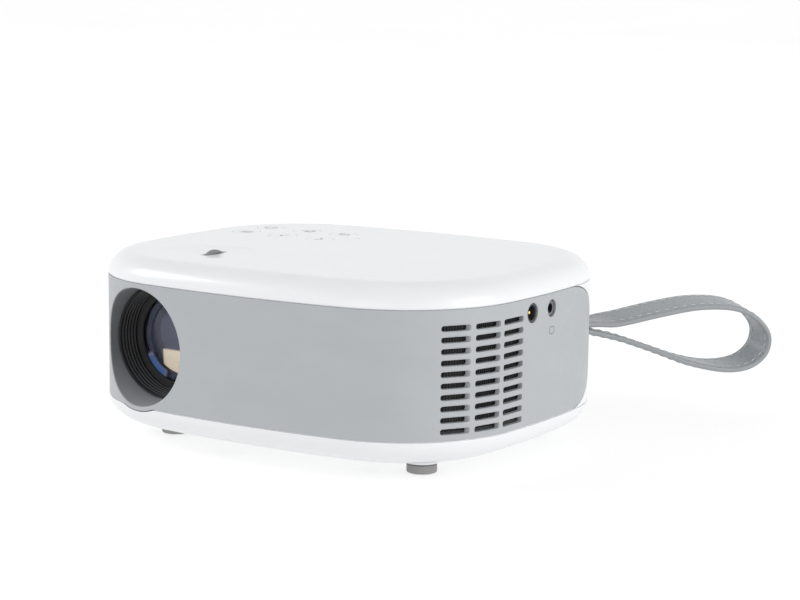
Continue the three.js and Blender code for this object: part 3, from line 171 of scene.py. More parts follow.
def together(solids):
    whole = Solid()
    for made in solids:
        whole = whole + made
    return whole


def skin(rings, wrap=False):
    """Quads between neighbouring rings of equal length, capped at both ends unless it wraps."""
    n = len(rings[0])
    verts = [p for ring in rings for p in ring]
    faces = []
    for k in range(len(rings) if wrap else len(rings) - 1):
        low, high = k * n, ((k + 1) % len(rings)) * n
        faces += [(low + i, low + (i + 1) % n, high + (i + 1) % n, high + i) for i in range(n)]
    if not wrap:
        faces.append(tuple(range(n))[::-1])
        faces.append(tuple(range((len(rings) - 1) * n, len(rings) * n)))
    return Solid(verts, faces)


def on_axis(axis, u, v, h):
    """The point at h along an axis whose other two coordinates, in x, y, z order, are u and v."""
    return {"x": (h, u, v), "y": (u, h, v), "z": (u, v, h)}[axis]


def turned(profile, axis="y", at=(0.0, 0.0), sides=64):
    """Solid of revolution of (radius, height) pairs. A profile that ends where it starts is a ring; otherwise
    it starts and ends on the axis."""
    closed = profile[0] == profile[-1]
    points = profile[:-1] if closed else profile
    a, b = at
    turns = [2 * math.pi * i / sides for i in range(sides)]

    def spot(r, h, t):
        return on_axis(axis, r * math.cos(t) + a, r * math.sin(t) + b, h)

    if closed:
        return skin([[spot(r, h, t) for t in turns] for r, h in points], wrap=True)
    inner = [[spot(r, h, t) for t in turns] for r, h in points if r > 0]
    made = skin(inner)
    made.faces = made.faces[:-2]
    for pole, ring, flip in ((points[0], 0, True), (points[-1], len(inner) - 1, False)):
        start = ring * sides
        if pole[0] > 0:
            loop = tuple(range(start, start + sides))
            made.faces.append(loop[::-1] if flip else loop)
            continue
        made.verts.append(spot(0, pole[1], 0))
        tip = len(made.verts) - 1
        for i in range(sides):
            edge = (start + i, start + (i + 1) % sides)
            made.faces.append((edge[1], edge[0], tip) if flip else (edge[0], edge[1], tip))
    return made


def prism(loop, axis, low, high):
    """A flat loop pushed along an axis."""
    return skin([[on_axis(axis, u, v, h) for u, v in loop] for h in (low, high)])


def box(x0, x1, y0, y1, z0, z1):
    return prism([(x0, y0), (x1, y0), (x1, y1), (x0, y1)], "z", z0, z1)


def arc(cx, cy, r, start, end, steps):
    angles = [start + (end - start) * i / steps for i in range(steps + 1)]
    return [(cx + r * math.cos(t), cy + r * math.sin(t)) for t in angles]


def circle(cx, cy, r, steps=32):
    return arc(cx, cy, r, 0, 2 * math.pi, steps)[:-1]


def rounded(x0, x1, y0, y1, r, steps=4):
    """Rounded rectangle, counterclockwise."""
    q = math.pi / 2
    return (
        arc(x1 - r, y0 + r, r, -q, 0, steps)
        + arc(x1 - r, y1 - r, r, 0, q, steps)
        + arc(x0 + r, y1 - r, r, q, 2 * q, steps)
        + arc(x0 + r, y0 + r, r, 2 * q, 3 * q, steps)
    )


def to_mesh(name, made, scale=1.0, offset=Vector((0, 0, 0))):
    mesh = bpy.data.meshes.new(name)
    mesh.from_pydata([Vector(v) * scale + offset for v in made.verts], [], made.faces)
    work = bmesh.new()
    work.from_mesh(mesh)
    bmesh.ops.recalc_face_normals(work, faces=work.faces)
    work.to_mesh(mesh)
    work.free()
    return mesh


def combined(base, tools, operation):
    """base with the tool solids joined to it (UNION) or cut from it (DIFFERENCE)."""
    objects = []
    for label, made in (("base", base), ("tool", tools)):
        o = bpy.data.objects.new(label, to_mesh(label, made))
        bpy.context.scene.collection.objects.link(o)
        objects.append(o)
    change = objects[0].modifiers.new("combined", "BOOLEAN")
    change.operation = operation
    change.solver = "MANIFOLD"
    change.object = objects[1]
    bpy.context.view_layer.update()
    done = objects[0].evaluated_get(bpy.context.evaluated_depsgraph_get()).to_mesh()
    result = Solid([v.co[:] for v in done.vertices], [tuple(p.vertices) for p in done.polygons])
    for o in objects:
        mesh = o.data
        bpy.data.objects.remove(o)
        bpy.data.meshes.remove(mesh)
    return result


# ---------------------------------------------------------------- body outline


def bow_radius(half, bow):
    return (half * half + bow * bow) / (2 * bow)


FRONT_R = bow_radius(HALF_W, FRONT_BOW)
SIDE_R = bow_radius(HALF_D, SIDE_BOW)
FRONT_C = Vector((0, FRONT_R - HALF_D))
SIDE_C = Vector((HALF_W - SIDE_R, 0))


def corner_centre():
    """The front right corner arc touches the front arc and the side arc from inside."""
    to_front, to_side = FRONT_R - CORNER_R, SIDE_R - CORNER_R
    line = SIDE_C - FRONT_C
    length = line.length
    along = (to_front**2 - to_side**2 + length**2) / (2 * length)
    across = math.sqrt(to_front**2 - along**2)
    line.normalize()
    x = FRONT_C.x + line.x * along - line.y * across
    return Vector((x, FRONT_C.y + line.y * along + line.x * across))


CORNER_C = corner_centre()
FRONT_ANGLE = math.atan2(CORNER_C.y - FRONT_C.y, CORNER_C.x - FRONT_C.x)
SIDE_ANGLE = math.atan2(CORNER_C.y - SIDE_C.y, CORNER_C.x - SIDE_C.x)
CORNER_START_X = FRONT_C.x + FRONT_R * math.cos(FRONT_ANGLE)
CORNER_START_Y = -(SIDE_C.y + SIDE_R * math.sin(SIDE_ANGLE))


def quarter(inset, steps=(24, 26, 14)):
    """The outline from the middle of the front to the middle of the right side, pulled in by inset."""
    arcs = (
        (FRONT_C, FRONT_R, -math.pi / 2, FRONT_ANGLE),
        (CORNER_C, CORNER_R, FRONT_ANGLE, SIDE_ANGLE),
        (SIDE_C, SIDE_R, SIDE_ANGLE, 0.0),
    )
    points = []
    for (c, r, start, end), count in zip(arcs, steps):
        points += arc(c.x, c.y, r - inset, start, end, count)[1 if points else 0 :]
    return points


def outline(inset=0.0, **steps):
    """Points round the body, counterclockwise from the front middle."""
    front = quarter(inset, **steps)
    right = front + [(x, -y) for x, y in front[-2::-1]]
    return right + [(-x, y) for x, y in right[-2:0:-1]]


def skin_x(y):
    """Half width of the body at y."""
    if abs(y) < CORNER_START_Y:
        return SIDE_C.x + math.sqrt(SIDE_R**2 - y**2)
    return CORNER_C.x + math.sqrt(CORNER_R**2 - (abs(y) + CORNER_C.y) ** 2)


def skin_y(x):
    """Half depth of the body at x."""
    if abs(x) < CORNER_START_X:
        return math.sqrt(FRONT_R**2 - x**2) - FRONT_C.y
    return -CORNER_C.y + math.sqrt(CORNER_R**2 - (abs(x) - CORNER_C.x) ** 2)


def ring_body(section, **steps):
    """A body of (inset, z) rings, capped at both ends."""
    return skin([[(x, y, z) for x, y in outline(inset, **steps)] for inset, z in section])


# Depth below the skin and growth of a cutter, so that the mouth it leaves is rounded over.
MOUTH = ((0.3, 0.0), (0.15, 0.03), (0.05, 0.1), (-0.02, 0.22), (-1.2, 1.4))
MOUTH_R = 0.2
WIDE_MOUTH = ((0.9, 0.0), (0.5, 0.09), (0.2, 0.28), (0.04, 0.56), (-0.02, 0.8), (-1.2, 2.0))


def bore(axis, loop_of, side, deep, mouth=MOUTH):
    """Cutter along x (through a side) or y (front -1, back 1) whose mouth follows the skin of the body.

    loop_of(growth) gives its section, grown by that much.
    """
    skin_of, reach = (skin_x, HALF_W) if axis == "x" else (skin_y, HALF_D)
    start = min(skin_of(u) for u, _ in loop_of(0)) - deep
    rings = [[on_axis(axis, u, w, side * start) for u, w in loop_of(0)]]
    for depth, growth in mouth:
        rings.append([on_axis(axis, u, w, side * (skin_of(u) - depth)) for u, w in loop_of(growth)])
    rings.append([on_axis(axis, u, w, side * (reach + 4)) for u, w in loop_of(mouth[-1][1])])
    return skin(rings)


def bore_down(loop_of, z_top, deep, soft=0.25):
    """Cutter down through a flat face at z_top, with a rounded lip."""
    levels = ((-deep, 0.0), (-soft, 0.0), (-0.3 * soft, 0.3 * soft), (0.01, soft), (1.0, soft))
    return skin([[(x, y, z_top + dz) for x, y in loop_of(growth)] for dz, growth in levels])


# -------------------------------------------------------------------- materials

WHITE = (0.715, 0.725, 0.74)
GREY = (0.37, 0.387, 0.403)
LEATHER_GREY = (0.255, 0.275, 0.295)

# Painted reflections in the lens, about its axis: the painted glint in radians, the painted glowing cream patch in
# millimetres.
GLINT_ANGLES = (-2.58, -2.04)
GLINT_RADII = (16.6, 19.2)
PAINTED_GLOW_ACROSS = (-9.4, 6.0)
PAINTED_GLOW_HEIGHT = (-18.0, -6.2)


class Look:
    """A node material under construction: sockets are set on the shader, and detail is added in layers."""

    def __init__(self, name, **values):
        self.material = bpy.data.materials.new(name)
        self.material.use_nodes = True
        self.tree = self.material.node_tree
        self.shader = self.tree.nodes["Principled BSDF"]
        for key, value in values.items():
            self.shader.inputs[key.replace("_", " ").title().replace("Ior", "IOR")].default_value = value
        self.place = self.node("ShaderNodeTexCoord").outputs["Object"]
        self.height = None

    def node(self, kind, **settings):
        made = self.tree.nodes.new(kind)
        for key, value in settings.items():
            setattr(made, key, value)
        return made

    def link(self, a, b):
        self.tree.links.new(a, b)

    def noise(self, size_mm, detail=3.0, stretch=(1, 1, 1), roughness=0.55):
        """Noise whose blobs are about size_mm across, stretched by axis."""
        scaled = self.node("ShaderNodeMapping")
        scaled.inputs["Scale"].default_value = [s / (size_mm * MM) for s in stretch]
        self.link(self.place, scaled.inputs["Vector"])
        made = self.node("ShaderNodeTexNoise")
        made.inputs["Scale"].default_value = 1.0
        made.inputs["Detail"].default_value = detail
        made.inputs["Roughness"].default_value = roughness
        self.link(scaled.outputs["Vector"], made.inputs["Vector"])
        return made.outputs["Fac"]

    def cells(self, size_mm, feature="F1"):
        made = self.node("ShaderNodeTexVoronoi", feature=feature)
        made.inputs["Scale"].default_value = 1 / (size_mm * MM)
        self.link(self.place, made.inputs["Vector"])
        return made.outputs["Distance"]

    def between(self, value, low, high, start=0.3, end=0.7):
        """value remapped from start..end to low..high."""
        made = self.node("ShaderNodeMapRange")
        for key, number in (("From Min", start), ("From Max", end), ("To Min", low), ("To Max", high)):
            made.inputs[key].default_value = number
        self.link(value, made.inputs["Value"])
        return made.outputs["Result"]

    def blend(self, value, first, second, start=0.3, end=0.7):
        """A colour that runs from first to second as value runs from start to end; either may be a socket."""
        made = self.node("ShaderNodeMix", data_type="RGBA")
        self.link(self.between(value, 0.0, 1.0, start, end), made.inputs["Factor"])
        for slot, colour in ((6, first), (7, second)):
            if isinstance(colour, tuple):
                made.inputs[slot].default_value = colour + (1.0,)
            else:
                self.link(colour, made.inputs[slot])
        return made.outputs[2]

    def colour(self, socket):
        self.link(socket, self.shader.inputs["Base Color"])
        return self

    def maths(self, operation, first, second=0.0):
        made = self.node("ShaderNodeMath", operation=operation)
        for slot, value in enumerate((first, second)):
            if isinstance(value, (int, float)):
                made.inputs[slot].default_value = value
            else:
                self.link(value, made.inputs[slot])
        return made.outputs["Value"]

    def window(self, value, low, high, soft):
        """1 where value lies between low and high, fading to 0 over soft."""
        rise = self.between(value, 0.0, 1.0, low - soft, low)
        fall = self.between(value, 1.0, 0.0, high, high + soft)
        return self.maths("MULTIPLY", rise, fall)

    def about_lens(self):
        """Across and up from the lens axis, in millimetres, and the radius and angle there."""
        axis = (LENS_X + MIDDLE.x / MM, LENS_Z)
        parts = self.node("ShaderNodeSeparateXYZ")
        self.link(self.place, parts.inputs["Vector"])
        x, z = (
            self.maths("SUBTRACT", self.maths("DIVIDE", parts.outputs[name], MM), middle)
            for name, middle in zip("XZ", axis)
        )
        squares = self.maths("ADD", self.maths("MULTIPLY", x, x), self.maths("MULTIPLY", z, z))
        return x, z, self.maths("SQRT", squares), self.maths("ARCTAN2", z, x)

    def rough(self, value, low, high):
        self.link(self.between(value, low, high), self.shader.inputs["Roughness"])
        return self

    def bump(self, value, depth_mm, strength=1.0):
        """Adds a bump layer over those already there."""
        made = self.node("ShaderNodeBump")
        made.inputs["Strength"].default_value = strength
        made.inputs["Distance"].default_value = depth_mm * MM
        self.link(value, made.inputs["Height"])
        if self.height is not None:
            self.link(self.height, made.inputs["Normal"])
        self.height = made.outputs["Normal"]
        self.link(self.height, self.shader.inputs["Normal"])
        return self


def shade(colour, factor):
    return tuple(min(1.0, c * factor) for c in colour)


def moulded(name, colour, low, high, grain_mm=0.35, depth_mm=0.012, spread=0.03, **values):
    """Moulded plastic: spark-eroded grain, faint flow marks and uneven gloss."""
    look = Look(name, **values)
    flow = look.noise(28, 2.0, (1, 1, 2.5))
    grain = look.noise(grain_mm, 2.0)
    look.colour(look.blend(flow, shade(colour, 1 - spread), shade(colour, 1 + spread)))
    look.rough(look.noise(3.0, 4.0), low, high)
    look.bump(grain, depth_mm)
    look.bump(look.noise(9, 2.0), 0.02)
    return look


def metal(name, colour, low, high, brush=(1, 1, 1), depth_mm=0.006, spread=0.06):
    look = Look(name, metallic=1.0)
    streaks = look.noise(0.5, 4.0, brush)
    look.colour(look.blend(streaks, shade(colour, 1 - spread), shade(colour, 1 + spread)))
    look.rough(streaks, low, high)
    look.bump(streaks, depth_mm)
    return look


def glass(name, tint, reflected, level, ior=1.52, roughest=0.02):
    """Optical glass: clear, with reflections coloured and weakened by its coating."""
    coating = reflected + (1.0,)
    look = Look(name, transmission_weight=1.0, ior=ior, specular_ior_level=level, specular_tint=coating)
    dust = look.noise(2.2, 6.0)
    look.colour(look.blend(dust, tint, shade(tint, 0.94)))
    look.rough(dust, 0.0, roughest)
    return look


def front_glass():
    """The outer element, with a painted reflection low on the left: a blue glint painted into its colour, where it
    lets less light through.
    """
    look = glass("coated_glass", (0.87, 0.88, 0.93), (0.5, 0.62, 1.0), 0.2, roughest=0.004)
    _, _, radius, angle = look.about_lens()
    # Painted reflection: a blue glint on a ring sector, painted into the colour, where less light goes through.
    ring = look.window(radius, *GLINT_RADII, 0.9)
    glint = look.maths("MULTIPLY", ring, look.window(angle, *GLINT_ANGLES, 0.12))
    clear = look.shader.inputs["Base Color"].links[0].from_socket
    look.colour(look.blend(glint, clear, (0.13, 0.24, 0.6), 0.0, 1.0))
    look.link(look.between(glint, 1.0, 0.25, 0.0, 1.0), look.shader.inputs["Transmission Weight"])
    return look


def middle_glass():
    """The element behind the stop: grey-brown, with a painted reflection low in it, a cream patch that glows."""
    look = glass("inner_glass", (0.75, 0.72, 0.69), (1.0, 0.94, 0.88), 0.5, roughest=0.004)
    x, z, _, _ = look.about_lens()
    # Painted reflection: a cream patch that glows, painted into the colour, where no light goes through.
    across = look.window(x, *PAINTED_GLOW_ACROSS, 0.8)
    painted_glow = look.maths("MULTIPLY", across, look.window(z, *PAINTED_GLOW_HEIGHT, 0.8))
    streaks = look.noise(7, 2.0, (2.2, 1, 0.35))
    veil = look.blend(streaks, (0.05, 0.047, 0.045), (0.14, 0.13, 0.125))
    look.colour(look.blend(painted_glow, veil, (0.85, 0.74, 0.5), 0.0, 1.0))
    look.link(look.between(painted_glow, 0.45, 0.0, 0.0, 1.0), look.shader.inputs["Transmission Weight"])
    look.shader.inputs["Emission Color"].default_value = (1.0, 0.84, 0.6, 1.0)
    look.link(look.between(painted_glow, 0.0, 0.4, 0.0, 1.0), look.shader.inputs["Emission Strength"])
    return look


def leather(name, colour, edge_colour):
    """Grained coated leather: fine cells, creases, worn spots, and painted edges where `edge` is 1."""
    look = Look(name, specular_ior_level=0.45, sheen_weight=0.12, sheen_roughness=0.5)
    cells = look.cells(0.85)
    creases = look.noise(5.5, 5.0, (1, 1, 1))
    edge = look.node("ShaderNodeAttribute", attribute_name="edge").outputs["Fac"]
    body = look.blend(creases, shade(colour, 0.9), shade(colour, 1.1))
    worn = look.blend(cells, body, shade(colour, 0.8), 0.35, 0.75)
    look.colour(look.blend(edge, worn, edge_colour, 0.45, 0.6))
    look.rough(creases, 0.34, 0.52)
    look.bump(cells, 0.09, 0.6)
    look.bump(creases, 0.16, 0.7)
    return look


def printed_board(name, colour):
    look = Look(name, coat_weight=0.3)
    tracks = look.cells(2.4, "DISTANCE_TO_EDGE")
    look.colour(look.blend(tracks, shade(colour, 1.5), colour, 0.02, 0.08))
    look.rough(look.noise(2.0, 3.0), 0.35, 0.55)
    look.bump(tracks, 0.03)
    return look


def band_with_painted_shade():
    """Grey moulding with painted shade inside the lens opening: darker there, most at its top and sides."""
    look = moulded("grey_moulding", GREY, 0.42, 0.55, 0.28, 0.01, 0.02)
    _, height, radius, _ = look.about_lens()
    inside = look.between(radius, 1.0, 0.0, OPENING_R + 0.15, OPENING_R + 0.6)
    shaded = look.maths("MULTIPLY", inside, look.between(height, 0.0, 1.0, -22.0, -6.0))
    plain = look.shader.inputs["Base Color"].links[0].from_socket
    return look.colour(look.blend(shaded, plain, shade(GREY, 0.6), 0.0, 1.0))


LOOKS = {
    "white_shell": moulded(
        "white_moulding", WHITE, 0.3, 0.4, 0.3, 0.004, 0.008, coat_weight=0.4, coat_roughness=0.14
    ),
    "grey_band": band_with_painted_shade(),
    "black_plastic": moulded("black_moulding", (0.026, 0.026, 0.028), 0.34, 0.5, 0.3, 0.012, 0.15),
    "foot_rubber": moulded("grey_rubber", (0.255, 0.25, 0.246), 0.75, 0.9, 0.4, 0.03, 0.08),
    "strap_leather": leather("grey_leather", LEATHER_GREY, (0.235, 0.25, 0.262)),
    "steel": metal("plated_steel", (0.62, 0.62, 0.64), 0.22, 0.38, (1, 1, 4)),
    "gold_contact": metal("gold_plating", (0.8, 0.58, 0.22), 0.15, 0.3),
    "aluminium": metal("extruded_aluminium", (0.72, 0.73, 0.74), 0.3, 0.45, (1, 6, 1)),
    "circuit_board": printed_board("solder_mask", (0.012, 0.09, 0.04)),
    "silicone": moulded(
        "white_silicone", (0.7, 0.7, 0.71), 0.55, 0.7, 0.6, 0.02, 0.04, subsurface_weight=0.2
    ),
    "clear_plastic": glass("clear_moulding", (0.9, 0.93, 0.95), (1.0, 1.0, 1.0), 0.5, 1.49, 0.08),
    "lens_glass": front_glass(),
    "lcd_glass": moulded("dark_panel", (0.02, 0.02, 0.026), 0.08, 0.16, 1.2, 0.002, 0.2, coat_weight=0.6),
    "filter_mesh": moulded("filter_wire", (0.022, 0.022, 0.023), 0.55, 0.75, 0.25, 0.02, 0.2),
    "speaker_paper": moulded("pressed_paper", (0.05, 0.05, 0.052), 0.75, 0.9, 0.7, 0.06, 0.15),
}

# Dark grey, for the printed symbols and for the focus wheel.
DARK_GREY = moulded("dark_grey", (0.2, 0.205, 0.21), 0.45, 0.6, 0.2, 0.004, 0.05)
THREAD = Look("stitch_thread", sheen_weight=0.3)
THREAD.colour(THREAD.blend(THREAD.noise(0.5, 2.0, (3, 3, 1)), (0.4, 0.415, 0.43), (0.5, 0.515, 0.53)))
THREAD.rough(THREAD.noise(0.4), 0.6, 0.8)
THREAD.bump(THREAD.noise(0.25, 2.0), 0.05)


def piece(name, made, slot, body="chassis", stands_for=(), look=None, angle=38.0):
    """A finished piece: millimetres about the body's middle become metres in the row frame."""
    mesh = to_mesh(name, made, MM, MIDDLE)
    mesh.materials.append((look or LOOKS[slot]).material)
    mesh.shade_smooth()
    mesh.set_sharp_from_angle(angle=math.radians(angle))
    o = bpy.data.objects.new(name, mesh)
    bpy.context.scene.collection.objects.link(o)
    weighted = o.modifiers.new("weighted_normals", "WEIGHTED_NORMAL")
    weighted.keep_sharp = True
    weighted.weight = 100
    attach(o, body)
    if stands_for:
        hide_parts(*stands_for)
    return o


# ---------------------------------------------------------------------- shells


def ellipse_levels(base_z, face_z, base_inset, face_inset, steps, first=0):
    """(inset, z) levels of a quarter ellipse from the side of the body to a flat face."""
    levels = []
    for i in range(first, steps + 1):
        t = i / steps * math.pi / 2
        inset = base_inset + (face_inset - base_inset) * (1 - math.cos(t))
        levels.append((inset, base_z + (face_z - base_z) * math.sin(t)))
    return levels


def lens_cylinder(r, y0, y1, sides=96):
    return prism(circle(LENS_X, LENS_Z, r, sides), "y", y0, y1)


def shell_section(band_z, face_z, face_inset, inner_z):
    """Section of a shell from its face, over the outside, round the seam and lip, and back inside."""
    up = 1 if face_z > band_z else -1
    seam = band_z + up * GAP
    outside = ellipse_levels(band_z, face_z, 0, face_inset, 22, 1)[::-1]
    edge = [
        (0.0, seam + up * SEAM_R),
        (0.3 * SEAM_R, seam + up * 0.3 * SEAM_R),
        (SEAM_R, seam),
        (GROOVE_D, seam),
        (GROOVE_D, band_z + up * 0.04),
        (LIP_IN, band_z + up * 0.04),
        (LIP_IN, band_z - up * LIP_DEPTH),
        (LIP_OUT, band_z - up * LIP_DEPTH),
    ]
    inside = ellipse_levels(seam + up, inner_z, LIP_OUT, face_inset, 8)
    return [level for level in outside if up * (level[1] - edge[0][1]) > 0.1] + edge + inside


def stadium(x0, x1, y0, y1):
    return lambda g: rounded(x0 - g, x1 + g, y0 - g, y1 + g, (x1 - x0) / 2 + g - 0.01, 6)


def thumb_dish():
    """Cap of a wide ellipsoid, sunk so that only its lowest part cuts the top."""
    sink = 0.9
    spread = math.sqrt(1 - sink**2)
    height = DISH_DEPTH / (1 - sink)
    steps = 22
    profile = []
    for i in range(steps + 1):
        t = -math.pi / 2 + (i / steps) * math.pi * 0.42
        profile.append((0.0 if i == 0 else math.cos(t), math.sin(t)))
    ball = turned(profile, "z", (0, 0), 72)
    a, b = DISH_HALF_W / spread, DISH_HALF_L / spread
    z = TOP_Z + sink * height
    return ball.mapped(lambda x, y, w: (x * a + WHEEL.x - 2, y * b + WHEEL.y, z + w * height))


def top_shell():
    section = shell_section(BAND_HIGH, TOP_Z, TOP_INSET, TOP_Z - WALL)
    post_top = TOP_Z - WALL + 0.4
    post = [(1.75, 20), (3.4, 20), (3.4, post_top), (1.75, post_top), (1.75, 20)]
    posts = together(turned(post, "z", at, 24) for at in SCREW_AT)
    body = combined(ring_body(section), posts, "UNION")
    cuts = []
    for node in KEY_NODES:
        x, y, _ = centre(node)
        cuts.append(bore_down(lambda g: circle(x, y, KEY_R + 0.12 + g, 64), TOP_Z, 8, 0.12))
    light = centre("status_light_pipe")
    cuts.append(bore_down(lambda g: circle(light.x, light.y, 1.3 + g, 24), TOP_Z, 6, 0.15))
    body = combined(body, thumb_dish(), "DIFFERENCE")
    half = WHEEL_T / 2 + 0.45
    slot = stadium(WHEEL.x - half, WHEEL.x + half, WHEEL.y - SLOT_HALF_L, WHEEL.y + SLOT_HALF_L)
    cuts.append(bore_down(slot, TOP_Z - DISH_DEPTH + 0.15, 8, 0.3))
    cuts.append(lens_cylinder(BOSS_R + GAP, -95, -44))
    return combined(body, together(cuts), "DIFFERENCE")


def bottom_shell():
    section = shell_section(BAND_LOW, BASE_Z, BASE_INSET, BASE_Z + WALL)
    body = ring_body(section)
    low = span("bottom_shell")[0].z
    boss = [(0, low), (FOOT_BOSS_R - 0.5, low), (FOOT_BOSS_R - 0.15, low + 0.15), (FOOT_BOSS_R, low + 0.5)]
    boss += [(FOOT_BOSS_R, BASE_Z + 3), (0, BASE_Z + 3)]
    bosses = together(turned(boss, "z", at, 48) for at in FOOT_AT)
    well = [(0, BASE_Z + 0.6), (5, BASE_Z + 0.6), (5, 18), (0, 18)]
    wells = together(turned(well, "z", at, 32) for at in SCREW_AT)
    body = combined(body, bosses + wells, "UNION")
    cuts = [turned([(0, 2), (2.9, 2), (2.9, 8), (0, 8)], "z", at, 24) for at in FOOT_AT]
    screw_hole = [(0, 0), (4.2, 0), (4.2, 5.0), (3.75, 5.7), (3.4, 6.4), (3.4, 15), (1.8, 15)]
    screw_hole += [(1.8, 25), (0, 25)]
    cuts += [turned(screw_hole, "z", at, 40) for at in SCREW_AT]
    cuts.append(lens_cylinder(BOSS_R + GAP, -95, -44))
    return combined(body, together(cuts), "DIFFERENCE")


# ------------------------------------------------------- grey band, rear cover


def band_limits(x, y):
    """Lowest and highest z of the band where the outline passes (x, y)."""
    half = (BAND_HIGH - BAND_LOW) / 2
    if y > BAND_STRAIGHT_Y:
        t = (y - BAND_STRAIGHT_Y) / (BAND_END_Y - BAND_STRAIGHT_Y)
        half *= math.sqrt(max(0.0, 1 - t * t))
    low = MID_Z - half
    if y < 0 and abs(x - LENS_X) < BOSS_R:
        low = min(low, LENS_Z - math.sqrt(BOSS_R**2 - (x - LENS_X) ** 2))
    return low, MID_Z + half


def wall_section(inset_point, low, high):
    """Closed section of a wall with softened outer edges; inset_point(inset) gives its (x, y)."""
    f = min(SEAM_R, (high - low) / 4)
    levels = [(f, low), (0.3 * f, low + 0.3 * f), (0.0, low + f)]
    rows = 5
    levels += [(0.0, low + f + (high - low - 2 * f) * k / rows) for k in range(1, rows)]
    levels += [(0.0, high - f), (0.3 * f, high - 0.3 * f), (f, high), (WALL, high), (WALL, low)]
    return [(*inset_point(inset), z) for inset, z in levels]


def band_stations():
    """Outline stations of the band from its left end to its right end, closer at the pointed ends."""
    half = quarter(0, steps=(50, 40, 16))
    front = half + [(x, -y) for x, y in half[-2::-1] if -y < BAND_STRAIGHT_Y]
    right = front[:]
    steps = 26
    for i in range(1, steps):
        y = BAND_STRAIGHT_Y + (BAND_END_Y - BAND_STRAIGHT_Y) * math.sin(i / steps * math.pi / 2)
        right.append((skin_x(y), y))
    return [(-x, y) for x, y in right[:0:-1]] + right


def outward(x, y):
    """Unit normal of the outline at (x, y)."""
    c = CORNER_C
    if abs(y) < CORNER_START_Y and abs(x) > CORNER_START_X:
        c = SIDE_C
    elif abs(x) < CORNER_START_X:
        c = FRONT_C
    arc_centre = Vector((c.x * math.copysign(1, x), -c.y * math.copysign(1, y)))
    return (Vector((x, y)) - arc_centre).normalized()


def wall(stations, limits):
    rings = []
    for x, y in stations:
        n = outward(x, y)
        low, high = limits(x, y)
        rings.append(wall_section(lambda inset: (x - n.x * inset, y - n.y * inset), low, high))
    return rings


def vent_cutters(side, columns):
    made = []
    for row in range(VENT_ROWS):
        z = VENT_LOW_Z + row * VENT_PITCH
        low, high = z - VENT_SLOT_H / 2 + MOUTH_R, z + VENT_SLOT_H / 2 - MOUTH_R
        for y0, y1 in columns:
            a, b = y0 - 0.1, y1 + 0.3
            made.append(bore("x", lambda g: rounded(a - g, b + g, low - g, high + g, 0.85 + g, 4), side, 3.5))
    return made


def front_band():
    body = skin(wall(band_stations(), band_limits))
    tube = []
    for r, follows in ((OPENING_R - 1, True), (BOSS_R, True), (BOSS_R, False), (OPENING_R - 1, False)):
        ring = circle(LENS_X, LENS_Z, r, 96)
        tube.append([(x, 1.2 - skin_y(x) if follows else SHROUD_BACK_Y, z) for x, z in ring])
    body = combined(body, skin(tube, wrap=True), "UNION")
    opening = bore("y", lambda g: circle(LENS_X, LENS_Z, OPENING_R + g, 120), -1, 45, WIDE_MOUTH)
    cuts = [opening] + vent_cutters(1, RIGHT_COLUMNS) + vent_cutters(-1, LEFT_COLUMNS)
    for y, r in ((DC_Y, DC_HOLE_R), (AUDIO_Y, AUDIO_HOLE_R)):
        cuts.append(bore("x", lambda g, y=y, r=r: circle(y, SOCKET_Z, r + g, 48), 1, 8))
    return combined(body, together(cuts), "DIFFERENCE")


def band_hole(growth):
    """(y, z) loop of the opening that the band fills in the rear cover."""
    half = (BAND_HIGH - BAND_LOW) / 2 + GAP + growth
    reach = BAND_END_Y - BAND_STRAIGHT_Y + GAP + growth
    loop = [(14.0, MID_Z - half)]
    steps = 48
    for i in range(steps + 1):
        t = -math.pi / 2 + math.pi * i / steps
        loop.append((BAND_STRAIGHT_Y + reach * math.cos(t), MID_Z + half * math.sin(t)))
    return loop + [(14.0, MID_Z + half)]


STRAP_JOINT = next(j for j in frame["joints"] if j["name"] == "strap_swing")
ACROSS = Vector(STRAP_JOINT["axis"])
OUT = Vector((-ACROSS.y, ACROSS.x, 0))
HINGE = (Vector(STRAP_JOINT["pos_m"]) - MIDDLE) / MM


def at_strap(u, v, w):
    """A point out of the body by u from the hinge, across by v and up by w."""
    return tuple(HINGE + OUT * u + ACROSS * v + Vector((0, 0, w)))


def rear_cover():
    stations = [p for p in quarter(0, steps=(50, 40, 16)) if -p[1] > 20]
    right = [(x, -y) for x, y in stations][::-1]
    left = [(-x, y) for x, y in right[::-1]][1:]
    body = skin(wall(right + left, lambda x, y: (BAND_LOW, BAND_HIGH)))
    cuts = [bore("x", band_hole, side, 12) for side in (1, -1)]
    hdmi, usb, ir = centre("hdmi_port").x, centre("usb_port").x, centre("ir_window").x
    z0, z1 = PORT_Z - 3.6, PORT_Z + 3.6
    for x, half in ((hdmi, 8.2), (usb, 7.3)):
        cuts.append(bore("y", lambda g: rounded(x - half - g, x + half + g, z0 - g, z1 + g, 1 + g), 1, 6))
    cuts.append(bore("y", lambda g: circle(ir, PORT_Z, 3.1 + g, 40), 1, 6))
    x0, x1 = GRILLE_X - 16, GRILLE_X + 16
    for i in range(7):
        low = 34 + i * 4.4
        cuts.append(bore("y", lambda g: rounded(x0 - g, x1 + g, low - g, low + 2 + g, 0.99 + g, 5), 1, 6))
    half = STRAP_W / 2 + 0.8
    mouth = rounded(-half, half, -3.3, 3.3, 1.2, 5)
    slot = []
    for u, grow in ((-12, 0), (-4.5, 0), (-4.2, 0.08), (-4.0, 0.35), (-2, 2.4)):
        slot.append([at_strap(u, v * (1 + grow / half), w * (1 + grow / 3.3)) for v, w in mouth])
    cuts.append(skin(slot))
    return combined(body, together(cuts), "DIFFERENCE")


piece("shell_top", top_shell(), "white_shell", stands_for=("top_shell",))
piece("shell_bottom", bottom_shell(), "white_shell", stands_for=("bottom_shell",))
piece("band", front_band(), "grey_band", stands_for=("front_band",))
piece("cover_rear", rear_cover(), "white_shell", stands_for=("rear_cover",))

# ------------------------------------------------------------- feet and screws

